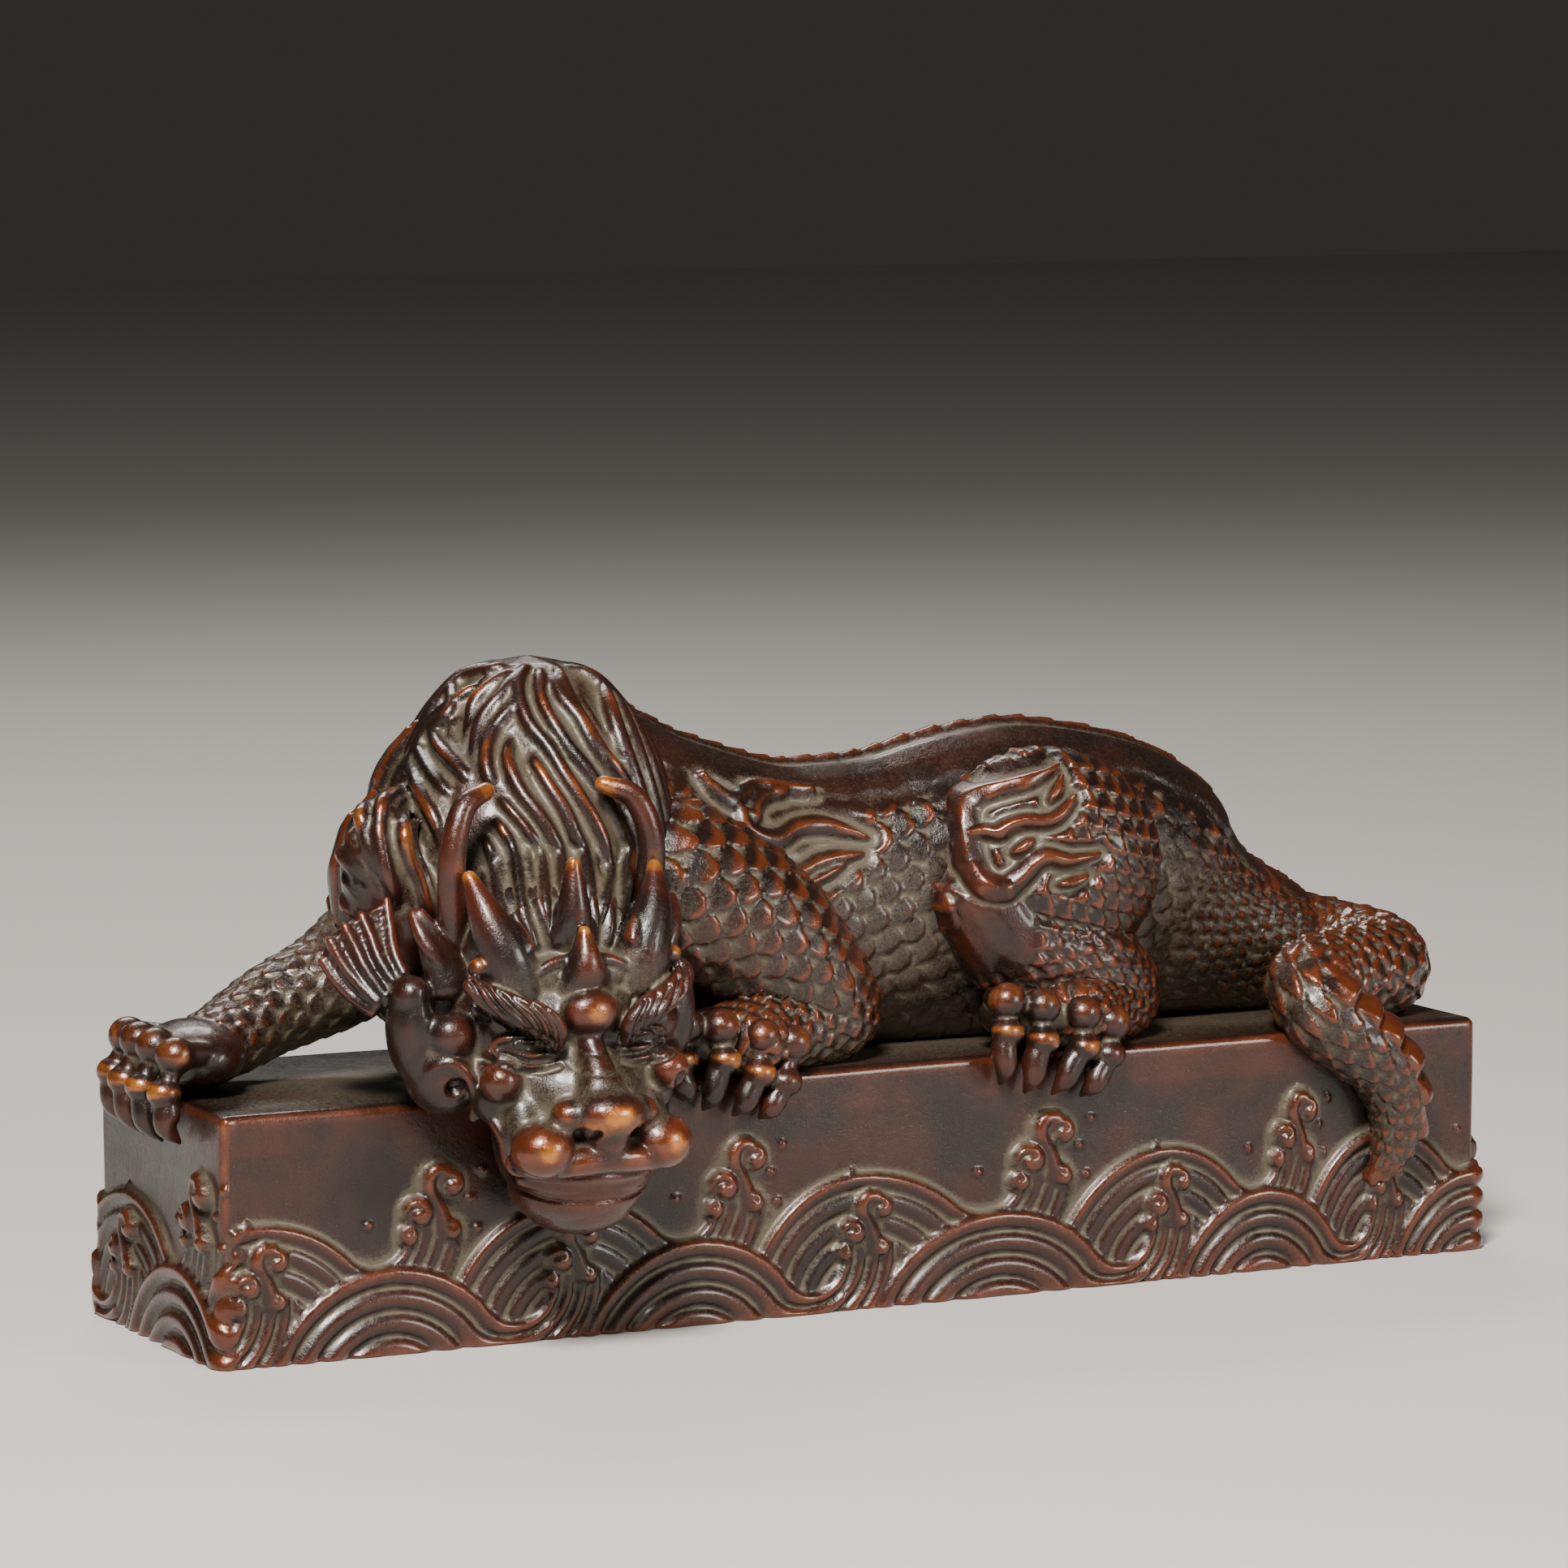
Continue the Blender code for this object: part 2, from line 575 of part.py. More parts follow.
def cut_flat_below(obj):
    """The underside cut flat on the table."""
    bm = bmesh.new()
    bm.from_mesh(obj.data)
    geometry = bm.verts[:] + bm.edges[:] + bm.faces[:]
    cut = bmesh.ops.bisect_plane(bm, geom=geometry, plane_co=(0, 0, 0), plane_no=(0, 0, 1), clear_inner=True)
    edges = [e for e in cut["geom_cut"] if isinstance(e, bmesh.types.BMEdge)]
    bmesh.ops.holes_fill(bm, edges=edges)
    bmesh.ops.triangulate(bm, faces=bm.faces)
    bm.to_mesh(obj.data)
    bm.free()


def patina():
    """Brown waxed patina on cast copper."""
    material = bpy.data.materials.new("brown_patina")
    material.use_nodes = True
    shader = material.node_tree.nodes["Principled BSDF"]
    shader.inputs["Base Color"].default_value = PATINA
    shader.inputs["Metallic"].default_value = 0.85
    shader.inputs["Roughness"].default_value = PATINA_ROUGHNESS
    return material


def main():
    for obj in list(bpy.data.objects):
        bpy.data.objects.remove(obj, do_unlink=True)
    plinth = make_plinth()
    cut_flat_below(plinth)
    beast = make_beast()
    join = plinth.modifiers.new("cast_in_one", "BOOLEAN")
    join.operation = "UNION"
    join.object = beast
    applied(plinth)
    bpy.data.objects.remove(beast)
    plinth.name = "guardian_beast_on_plinth"
    plinth.data.name = plinth.name
    plinth.data.materials.clear()
    plinth.data.materials.append(patina())
    plinth.data.shade_smooth()
    plinth.data.set_sharp_from_angle(angle=math.radians(40))


main()
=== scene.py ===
"""Looks of a cast copper guardian beast crouching on a long plinth carved with waves.

The beast is drawn in millimetres from the plinth's front top left corner: X along the plinth
towards the tail, Y back from its front face and Z up from its top.
"""

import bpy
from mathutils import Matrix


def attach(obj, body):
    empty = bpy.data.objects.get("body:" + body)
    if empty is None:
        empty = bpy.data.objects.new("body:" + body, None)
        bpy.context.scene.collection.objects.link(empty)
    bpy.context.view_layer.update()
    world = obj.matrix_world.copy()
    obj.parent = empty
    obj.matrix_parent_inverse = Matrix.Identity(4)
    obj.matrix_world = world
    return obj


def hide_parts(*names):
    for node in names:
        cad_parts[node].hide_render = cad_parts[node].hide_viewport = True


bl_info = {
    "name": "Copper Guardian Beast",
    "version": (1, 0, 0),
    "blender": (4, 5, 0),
    "location": "View3D > Sidebar > Guardian Beast",
    "description": "Carves a patinated copper beast on its wave plinth and sets up the stage",
    "category": "Object",
}

import math

import bmesh
import bpy
import numpy as np
from bpy.props import FloatProperty, FloatVectorProperty, IntProperty, PointerProperty
from mathutils import Matrix, Vector
from mathutils.bvhtree import BVHTree

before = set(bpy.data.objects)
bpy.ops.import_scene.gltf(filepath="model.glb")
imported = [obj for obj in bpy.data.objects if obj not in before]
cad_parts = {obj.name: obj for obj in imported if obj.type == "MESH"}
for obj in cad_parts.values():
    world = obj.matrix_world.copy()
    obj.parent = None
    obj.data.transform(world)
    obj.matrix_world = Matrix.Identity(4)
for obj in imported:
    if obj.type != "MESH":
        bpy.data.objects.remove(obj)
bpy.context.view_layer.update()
NODE = "guardian_beast_on_plinth"
MM = 0.001


# Forms of the beast: centre x, y, z, then half the width across and half the height.

TRUNK = (
    (42, 25, 21, 13, 20),
    (55, 25, 26, 18, 27.5),
    (75, 25, 22.3, 17.5, 23.9),
    (92, 25, 20.1, 16, 21.0),
    (102, 25, 19.8, 15.5, 20.8),
    (112, 25, 20.1, 15.5, 21.2),
    (123, 25, 21, 16, 22.8),
    (135, 25, 21.4, 16.5, 23.4),
    (147, 25, 21.2, 15.5, 21.2),
    (155, 25, 19.2, 13.5, 19.2),
    (162, 25, 15.2, 11, 16.2),
    (169, 25, 12.2, 9.4, 12.4),
    (178, 25, 9.4, 8, 9.8),
)
TAIL = (
    (172, 25, 11.4, 8.6, 11.2),
    (181, 26, 8.6, 7.6, 8.8),
    (188.5, 24, 7.4, 7, 7.6),
    (192.5, 18, 6.8, 6.8, 7),
    (190, 11.5, 6.6, 6.6, 6.6),
    (183, 8, 6.6, 6.4, 6.4),
    (176, 5, 6.8, 6.1, 6.1),
    (171.6, 1.2, 6.2, 5.8, 5.8),
    (172, -2.2, 3.2, 5.5, 5.5),
    (176.5, -3, -0.8, 5.2, 5.2),
    (181.5, -3, -5, 4.7, 4.7),
    (184.4, -2.6, -10.5, 4, 4),
    (184.6, -2.2, -16, 3, 3),
    (183, -1.6, -20.4, 1.9, 1.9),
    (181.4, -1.2, -22.2, 1, 1),
)
NEAR_UPPER_ARM = (
    (66, 17, 27, 12.5, 12.5),
    (73, 13, 25, 13, 13),
    (84, 10.5, 19.5, 11.2, 11.2),
    (92, 9.5, 12, 9.3, 9.3),
    (95, 9.5, 8.2, 8.4, 8.4),
)
NEAR_FOREARM = (
    (95.5, 9.5, 8, 8.2, 8.2),
    (89, 7.5, 6.4, 7.2, 7),
    (83, 5, 5.4, 6.6, 5.6),
    (79.5, 3, 4.6, 7.6, 4.6),
)
FAR_ARM = (
    (46, 26, 22, 11, 12),
    (36, 28, 18, 8.4, 8.6),
    (28, 28.5, 13.2, 7, 7),
    (19, 28, 9.8, 6.2, 6),
    (11, 26.5, 6.2, 6.4, 5),
    (4.5, 25, 4.2, 7.6, 4),
)
THIGH_CENTRE = (133, 12.5, 25.5)
THIGH_RADII = (18.2, 12, 16.6)
SHIN = (
    (121.5, 9.5, 21.5, 7.5, 7.5),
    (126, 8.5, 15.5, 7.5, 7.8),
    (136, 8.5, 11.5, 7.2, 8.4),
    (143, 9.5, 6.8, 6.4, 7),
)
HIND_FOOT = (
    (143.5, 9.5, 5.8, 6.2, 6),
    (138, 7, 5.4, 6.6, 5.8),
    (132, 4, 5, 7.8, 5),
)
MIRROR_Y = 46.0
NECK = (
    ((54.8, 20, 31.2), (18.9, 20, 27.6)),
    ((50.5, 13.5, 26), (20, 17, 25)),
    ((50.5, 2, -2), (8, 10, 13)),
)

# The head is drawn round a point between the eyes: a to the side, b forward, c up.

HEAD_AT = (47.0, -7.0, 7.4)
SKULL = (
    ((0, -4, 3), (16.2, 13, 16)),
    ((0, -3.5, 14), (14.5, 8.5, 10)),
    ((0, 3, 5.2), (13.5, 7.6, 6)),
    ((0, 2.4, -2.5), (14, 8.4, 7.5)),
    ((0, 3.6, -9), (10.8, 11.0, 8)),
    ((0, 5.4, -5.5), (10.2, 8.2, 7.5)),
    ((0, 9.6, -13.4), (11.0, 6.4, 5.0)),
    ((0, 5.4, -18.4), (9.8, 8.4, 5.6)),
    ((0.6, 4.4, -20.4), (8.0, 8.2, 4.8)),
    ((0.6, 8.6, -17.6), (9.0, 4.4, 3.4)),
    ((0, 5.0, 10.6), (10.5, 3.9, 3.0)),
)
FACE_MIDDLE = (
    ((0, 10.4, 6.4), (4.2, 3.0, 3.2)),
    ((0, 15.8, -7.0), (5.3, 4.6, 3.7)),
    ((0, 15.4, -9.9), (3.1, 3.3, 3.7)),
)
FACE_SIDES = (
    ((9.2, 6.2, 1.8), (3.2, 2.8, 2.0)),
    ((12.6, 8.4, -2.7), (3.0, 3.0, 2.9)),
    ((5.0, 14.6, -7.0), (3.0, 2.7, 2.5)),
    ((8.8, 13.8, -11.6), (4.6, 4.3, 4.0)),
    ((14.4, 5.4, 12.6), (1.7, 1.8, 1.7)),
    ((16.8, 1.4, 3.0), (3.4, 3.2, 3.3)),
    ((21.2, -2.2, 4.0), (3.4, 4.2, 7.4)),
    ((21.5, -1.4, 8.4), (2.9, 3.0, 3.0)),
    ((16.6, -1.8, -2.4), (5.6, 5.4, 6.0)),
    ((5.0, 1.0, -12), (4.8, 7.0, 8)),
    ((9.0, 8.0, -9.8), (3.3, 3.2, 5.6)),
    ((11.8, 4.8, -5.8), (3.2, 3.0, 3.4)),
)
BROW = (
    (16.0, 6.6, 10.4, 1.2, 1.4),
    (14.0, 8.6, 8.8, 1.7, 1.9),
    (11.0, 10.2, 7.2, 1.9, 2.1),
    (8.2, 11.2, 6.0, 1.9, 2.3),
    (6.0, 11.4, 4.2, 1.5, 2.0),
    (5.2, 11.0, 2.4, 1.1, 1.1),
)
LIP = ((0, 15.0, -13.0, 2.7, 2.2), (4.5, 14.8, -13.3, 2.6, 2.1), (8, 13.4, -13.8, 2.4, 1.8),
       (11.2, 11, -13.6, 2.0, 1.8))
LOWER_LIP = ((0, 12.6, -17.0, 1.5, 1.3), (5.4, 11.6, -17.0, 1.5, 1.3), (9.4, 8.6, -16.2, 1.2, 1.1))
BRIDGE = ((0, 9.2, 3.0, 2.0, 2.2), (0, 11.8, -0.6, 2.3, 2.4), (0, 14.0, -4.0, 3.6, 2.8))
CROWN_FOLD = ((1.4, 7.6, 13.2, 1.1, 1.1), (4.8, 7.6, 12.6, 0.9, 0.9), (8.6, 7.4, 10.6, 0.7, 0.7),
              (12.0, 6.6, 9.8, 0.4, 0.4))
JAW_FOLD = ((13.6, 4.8, -6.6, 0.7, 0.7), (12.0, 7.8, -10.2, 1.0, 1.0), (11.4, 8.0, -13.6, 0.9, 0.9))
BIG_HORN = ((9.2, 4.4, 9.0, 4.7, 4.6), (10.3, 5.2, 13.6, 4.0, 3.9), (12.4, 4, 19, 2.7, 2.7),
            (13.9, 1.4, 24.4, 1.1, 1.1))
MIDDLE_HORN = ((0, 2, 14, 3.8, 3.8), (0, 4.8, 18.6, 2.7, 2.7), (0, 4.9, 26, 1.0, 1.0))
FRONT_HORN = ((0, 6.8, 9.2, 5.2, 4.0), (0, 8.6, 12.6, 2.8, 2.8), (0, 8.4, 17.0, 0.95, 0.95))
FEELER = (
    (13.6, -4, 14, 2.4, 2.4),
    (14.8, -2.4, 21, 2.1, 2.1),
    (14.9, -1.8, 28, 1.9, 1.9),
    (12.8, -2.6, 33.6, 1.7, 1.7),
    (8.9, -4.2, 35.4, 1.3, 1.3),
)
EAR = ((15.2, -1.5, 9.5, 3.6, 2), (17.0, -3, 14.5, 2.6, 1.8), (18.6, -4.6, 19, 0.9, 0.9))
GOLDEN_TIPS = (((13.9, 1.4, 25.2), 3.4), ((0, 4.9, 27.2), 3.6), ((0, 8.6, 18.2), 2.3),
               ((8.9, -4.2, 35.4), 4.2), ((14.4, 6.4, 13.4), 2.0), ((0, 13.2, 6.6), 2.6),
               ((0.8, 21.2, -6.2), 2.9), ((9.8, 18.8, -11.2), 2.6))
MANE_AXIS = ((54, 25, 43), (47, -1, 11))


# Small helpers that every piece uses.

def eased(values, low, high):
    """0 below low, 1 above high and a smooth rise between."""
    t = np.clip((values - low) / (high - low), 0, 1)
    return t * t * (3 - 2 * t)


def ranked(values, low, high):
    """0 up to the low percentile of the values, 1 from the high one on."""
    return eased(values, np.percentile(values, low), np.percentile(values, high))


def spline(rows, per_span=6):
    """Rows of numbers joined by a smooth curve that passes through each of them."""
    rows = np.array(rows, float)
    padded = np.vstack([2 * rows[0] - rows[1], rows, 2 * rows[-1] - rows[-2]])
    out = []
    for i in range(1, len(padded) - 2):
        p0, p1, p2, p3 = padded[i - 1 : i + 3]
        for t in np.arange(per_span) / per_span:
            out.append(0.5 * (2 * p1 + (p2 - p0) * t + (2 * p0 - 5 * p1 + 4 * p2 - p3) * t * t
                              + (3 * p1 - p0 - 3 * p2 + p3) * t ** 3))
    out.append(padded[-2])
    return np.array(out)


def carried_frames(centres):
    """Tangent, side and top direction at each point of a line, carried along without twisting."""
    tangents = np.gradient(centres, axis=0)
    tangents /= np.linalg.norm(tangents, axis=1)[:, None]
    top = np.array([0.0, 0.0, 1.0]) if abs(tangents[0][2]) < 0.9 else np.array([0.0, -1.0, 0.0])
    tops = []
    for tangent in tangents:
        top = top - tangent * (top @ tangent)
        top = top / np.linalg.norm(top)
        tops.append(top)
    tops = np.array(tops)
    return tangents, np.cross(tops, tangents), tops


def mirrored(rows):
    """The same limb on the far side of the plinth's middle."""
    return [(x, MIRROR_Y - y, z, wide, tall) for x, y, z, wide, tall in rows]


def on_head(row, side=1):
    """A place drawn on the head, in the beast's own frame. side -1 mirrors it."""
    a, b, c = row[:3]
    x, y, z = HEAD_AT
    return (x + side * a, y - b, z + c, *row[3:])


def in_metres(points):
    """Drawn millimetres as metres in the part's own frame."""
    sizes = bpy.context.scene.beast_sizes
    corner = np.array([-sizes.plinth_length / 2, -sizes.plinth_width / 2, sizes.plinth_height])
    return np.asarray(points) * MM + corner


def as_drawn(points):
    """Metres in the part's own frame as drawn millimetres."""
    sizes = bpy.context.scene.beast_sizes
    corner = np.array([-sizes.plinth_length / 2, -sizes.plinth_width / 2, sizes.plinth_height])
    return (np.asarray(points) - corner) / MM


def ball():
    """Points and faces of a round ball of radius 1."""
    bm = bmesh.new()
    bmesh.ops.create_icosphere(bm, subdivisions=3, radius=1.0)
    points = np.array([v.co for v in bm.verts])
    faces = [tuple(v.index for v in f.verts) for f in bm.faces]
    bm.free()
    return points, faces


BALL = ball()


class Clay:
    """Closed lumps laid over one another, in drawn millimetres, to be fused into one skin."""

    def __init__(self):
        self.points = []
        self.faces = []
        self.count = 0

    def add(self, points, faces):
        self.points.append(np.asarray(points, float))
        self.faces += [tuple(i + self.count for i in face) for face in faces]
        self.count += len(points)

    def egg(self, centre, radii):
        """An ellipsoid."""
        points, faces = BALL
        self.add(points * np.array(radii) + np.array(centre), faces)

    def tube(self, rows, sides=16, per_span=5):
        """A limb of oval sections with round ends, through rows of x, y, z, across, up."""
        rows = spline(rows, per_span)
        centres, across, height = rows[:, :3], rows[:, 3], rows[:, 4]
        tangents, side_ways, tops = carried_frames(centres)
        turns = np.linspace(0, 2 * math.pi, sides, endpoint=False)
        circle = np.stack([np.cos(turns), np.sin(turns)], axis=1)

        def ring(i, slide, shrink):
            middle = centres[i] + tangents[i] * slide
            return (middle + np.outer(circle[:, 0] * across[i] * shrink, side_ways[i])
                    + np.outer(circle[:, 1] * height[i] * shrink, tops[i]))

        def cap(i, sign):
            reach = min(across[i], height[i])
            return [ring(i, sign * reach * math.sin(f), math.cos(f)) for f in (1.25, 0.8, 0.4)]

        last = len(rows) - 1
        rings = cap(0, -1) + [ring(i, 0, 1) for i in range(len(rows))] + cap(last, 1)[::-1]
        tips = [centres[0] - tangents[0] * min(across[0], height[0]),
                centres[last] + tangents[last] * min(across[last], height[last])]
        faces = []
        for k in range(len(rings) - 1):
            for i in range(sides):
                j = (i + 1) % sides
                low, high = k * sides, (k + 1) * sides
                faces.append((low + i, low + j, high + j, high + i))
        start, end = len(rings) * sides, len(rings) * sides + 1
        top = (len(rings) - 1) * sides
        for i in range(sides):
            j = (i + 1) % sides
            faces.append((start, j, i))
            faces.append((end, top + i, top + j))
        self.add(np.vstack([*rings, tips]), faces)

    def head_tube(self, rows, side, sides=12, per_span=5):
        """A tube drawn on the head, on its own side or mirrored."""
        self.tube([on_head(row, side) for row in rows], sides, per_span)

    def fused(self, name, voxel, soften):
        """One closed skin round all the lumps, in drawn millimetres."""
        mesh = bpy.data.meshes.new(name)
        mesh.from_pydata(np.vstack(self.points).tolist(), [], self.faces)
        obj = bpy.data.objects.new(name, mesh)
        bpy.context.scene.collection.objects.link(obj)
        remesh = obj.modifiers.new("one_skin", "REMESH")
        remesh.mode = "VOXEL"
        remesh.voxel_size = voxel
        smooth = obj.modifiers.new("soften", "SMOOTH")
        smooth.iterations = soften
        bpy.ops.object.select_all(action="DESELECT")
        obj.select_set(True)
        bpy.context.view_layer.objects.active = obj
        for modifier in list(obj.modifiers):
            bpy.ops.object.modifier_apply(modifier=modifier.name)
        return obj


class Skin:
    """A mesh's points as arrays, so that carving can be worked out for all of them at once."""

    def __init__(self, obj):
        self.obj = obj
        mesh = obj.data
        self.count = len(mesh.vertices)
        self.points = np.empty((self.count, 3))
        mesh.vertices.foreach_get("co", self.points.ravel())
        edges = np.empty(len(mesh.edges) * 2, np.int32)
        mesh.edges.foreach_get("vertices", edges)
        self.edges = edges.reshape(-1, 2)
        self.links = np.bincount(edges, minlength=self.count).clip(1)
        self.normals = self.read_normals()

    def read_normals(self):
        """The mesh's own normals, one for each point."""
        mesh = self.obj.data
        normals = np.empty(self.count * 3, np.float32)
        mesh.vertex_normals.foreach_get("vector", normals)
        return normals.reshape(-1, 3).astype(float)

    def relaxed(self, values, rounds, share=0.6):
        """Values averaged with their neighbours' over and over."""
        values = np.array(values, float)
        flat = values.reshape(self.count, -1)
        first, second = self.edges.T
        for _ in range(rounds):
            for column in range(flat.shape[1]):
                old = flat[:, column]
                around = (np.bincount(first, old[second], self.count)
                          + np.bincount(second, old[first], self.count)) / self.links
                flat[:, column] = old + share * (around - old)
        return flat.reshape(values.shape)

    def push(self, heights):
        """Move each point out along its normal by so many millimetres."""
        self.points += self.normals * np.asarray(heights)[:, None]
        self.settle()

    def settle(self):
        """Write the points back and read the normals again."""
        mesh = self.obj.data
        mesh.vertices.foreach_set("co", self.points.ravel())
        mesh.update()
        self.normals = self.read_normals()

    def standing_out(self, rounds):
        """How far each point stands out from the skin smoothed over so many rounds."""
        smoothed = self.relaxed(self.points, rounds)
        return np.einsum("ij,ij->i", self.points - smoothed, self.normals)

    def mark(self, name, values):
        """Keep a number from 0 to 1 for each point, for the material to read."""
        mesh = self.obj.data
        layer = mesh.attributes.get(name) or mesh.attributes.new(name, "FLOAT", "POINT")
        layer.data.foreach_set("value", np.clip(values, 0, 1).astype(np.float32))


def follow(points, rows):
    """Along a limb's centre line: the distance to each point's place, and its turn from the top."""
    line = spline([row[:3] for row in rows], 12)
    tangents, sides, tops = carried_frames(line)
    run = np.concatenate([[0], np.cumsum(np.linalg.norm(np.diff(line, axis=0), axis=1))])
    along = np.empty(len(points))
    turn = np.empty(len(points))
    gap = np.empty(len(points))
    for start in range(0, len(points), 20000):
        part = points[start : start + 20000]
        squared = ((part[:, None, :] - line[None]) ** 2).sum(axis=2)
        near = squared.argmin(axis=1)
        offset = part - line[near]
        slide = np.einsum("ij,ij->i", offset, tangents[near])
        across = np.einsum("ij,ij->i", offset, sides[near])
        up = np.einsum("ij,ij->i", offset, tops[near])
        stop = slice(start, start + len(part))
        along[stop] = run[near] + slide
        turn[stop] = np.arctan2(across, up)
        gap[stop] = np.hypot(across, up)
    return along, turn, gap


def scales(rows, columns, pointed):
    """Overlapping scales. rows counts them towards their tips, columns across. 0 low to 1 high."""
    height = np.zeros_like(rows)
    base = np.floor(rows)
    for step in (1, 0):
        row = base + step
        shift = 0.5 * np.mod(row, 2)
        across = 2 * np.abs(columns - shift - np.round(columns - shift))
        rounded = np.sqrt(np.clip(1 - across ** 2, 0, 1))
        leaf = (1 - across) ** 0.8
        edge = row + rounded + (leaf - rounded) * pointed
        gap = edge - rows
        domed = (1.02 - 0.50 * gap) * (1 - 0.34 * across ** 2)
        height = np.where(gap > 0, domed * eased(gap, -0.02, 0.16), height)
    return np.clip(height, 0, 1.1)


def nearness(x, z, route, widths):
    """1 on the middle of a curved stroke drawn in x and z, falling to 0 at its half width."""
    rows = spline([(*point, width) for point, width in zip(route, widths)], 5)
    best = np.full_like(x, -1.0)
    for (x0, z0, w0), (x1, z1, w1) in zip(rows, rows[1:]):
        dx, dz = x1 - x0, z1 - z0
        t = np.clip(((x - x0) * dx + (z - z0) * dz) / (dx * dx + dz * dz + 1e-9), 0, 1)
        gap = np.hypot(x - x0 - t * dx, z - z0 - t * dz)
        best = np.maximum(best, 1 - gap / (w0 + t * (w1 - w0)).clip(0.05))
    return best.clip(0, 1)


# What can be set in the sidebar.

class BeastSizes(bpy.types.PropertyGroup):
    """Sizes of the casting and of its carving."""

    plinth_length: FloatProperty(
        name="Plinth length", description="Along the beast", default=0.200, unit="LENGTH")
    plinth_width: FloatProperty(
        name="Plinth width", description="Across the beast", default=0.046, unit="LENGTH")
    plinth_height: FloatProperty(
        name="Plinth height", description="From the table to its top", default=0.0346, unit="LENGTH")
    wave_period: FloatProperty(
        name="Wave period", description="From one curl to the next in a row, in mm", default=46.5)
    wave_relief: FloatProperty(
        name="Wave relief", description="How far the front waves stand out, in mm", default=1.8)
    rib_depth: FloatProperty(
        name="Rib depth", description="Depth of the grooves between a wave's ribs, in mm", default=1.05)
    face_step: FloatProperty(
        name="Face step", description="Spacing of the plinth's points, in mm", default=0.38)
    body_step: FloatProperty(
        name="Body step", description="Spacing of the trunk's points, in mm", default=0.47)
    limb_step: FloatProperty(
        name="Limb step", description="Spacing of the points on limbs and mane, in mm", default=0.40)
    fine_step: FloatProperty(
        name="Fine step", description="Spacing of the points on head and paws, in mm", default=0.30)
    scale_row: FloatProperty(
        name="Scale row", description="From one row of flank scales to the next, in mm", default=3.2)
    scale_pitch: FloatProperty(
        name="Scale pitch", description="From one flank scale to the next across, in mm", default=5.7)
    scale_height: FloatProperty(
        name="Scale height", description="How far a scale's free end stands out, in mm", default=1.3)
    lock_radius: FloatProperty(
        name="Lock radius", description="Half the width of a lock of the mane, in mm", default=1.2)
    camera_place: FloatVectorProperty(
        name="Camera", description="Where the picture is taken from", size=3,
        default=(-0.44510, -0.88023, 0.18973), subtype="TRANSLATION")
    camera_yaw: FloatProperty(
        name="Camera yaw", description="Turn of the view towards the tail, in degrees", default=26.649)
    camera_pitch: FloatProperty(
        name="Camera pitch", description="How far the view looks down, in degrees", default=6.786)
    camera_lens: FloatProperty(
        name="Lens", description="Focal length on a 36 mm sensor, in mm", default=158.39)
    seed: IntProperty(name="Seed", description="Start of the hand-made unevenness", default=7)


# The material.

class Value:
    """A number or vector inside a material. Arithmetic on it makes the maths nodes."""

    def __init__(self, tree, socket):
        self.tree = tree
        self.socket = socket

    def node(self, kind, settings, inputs, output=0):
        """Any other node: its settings first, then its sockets by name or number."""
        made = self.tree.nodes.new(kind)
        for name, setting in settings.items():
            setattr(made, name, setting)
        for name, value in inputs.items():
            if isinstance(value, Value):
                self.tree.links.new(value.socket, made.inputs[name])
            else:
                made.inputs[name].default_value = value
        return Value(self.tree, made.outputs[output])

    def maths(self, operation, *values):
        """One of the maths nodes."""
        return self.node("ShaderNodeMath", {"operation": operation}, dict(enumerate(values)))

    def __add__(self, other):
        return self.maths("ADD", self, other)

    def __radd__(self, other):
        return self.maths("ADD", other, self)

    def __sub__(self, other):
        return self.maths("SUBTRACT", self, other)

    def __mul__(self, other):
        return self.maths("MULTIPLY", self, other)

    def __rmul__(self, other):
        return self.maths("MULTIPLY", other, self)

    def between(self, low, high):
        """0 at low, 1 at high, held there beyond."""
        return self.node("ShaderNodeMapRange", {"interpolation_type": "SMOOTHSTEP"},
                         {"Value": self, "From Min": low, "From Max": high})

    def blend(self, first, second):
        """The first colour where this is 0 and the second where it is 1."""
        return self.node("ShaderNodeMix", {"data_type": "RGBA"}, {0: self, 6: first, 7: second}, 2)


BLACK_PATINA = (0.0060, 0.0038, 0.0028, 1)
BROWN_PATINA = (0.018, 0.0070, 0.0042, 1)
RED_PATINA = (0.062, 0.0130, 0.0055, 1)
WORN_RED = (0.140, 0.033, 0.0098, 1)
RUBBED_GOLD = (0.420, 0.150, 0.024, 1)
DUST_AND_SHEEN = (0.088, 0.071, 0.048, 1)


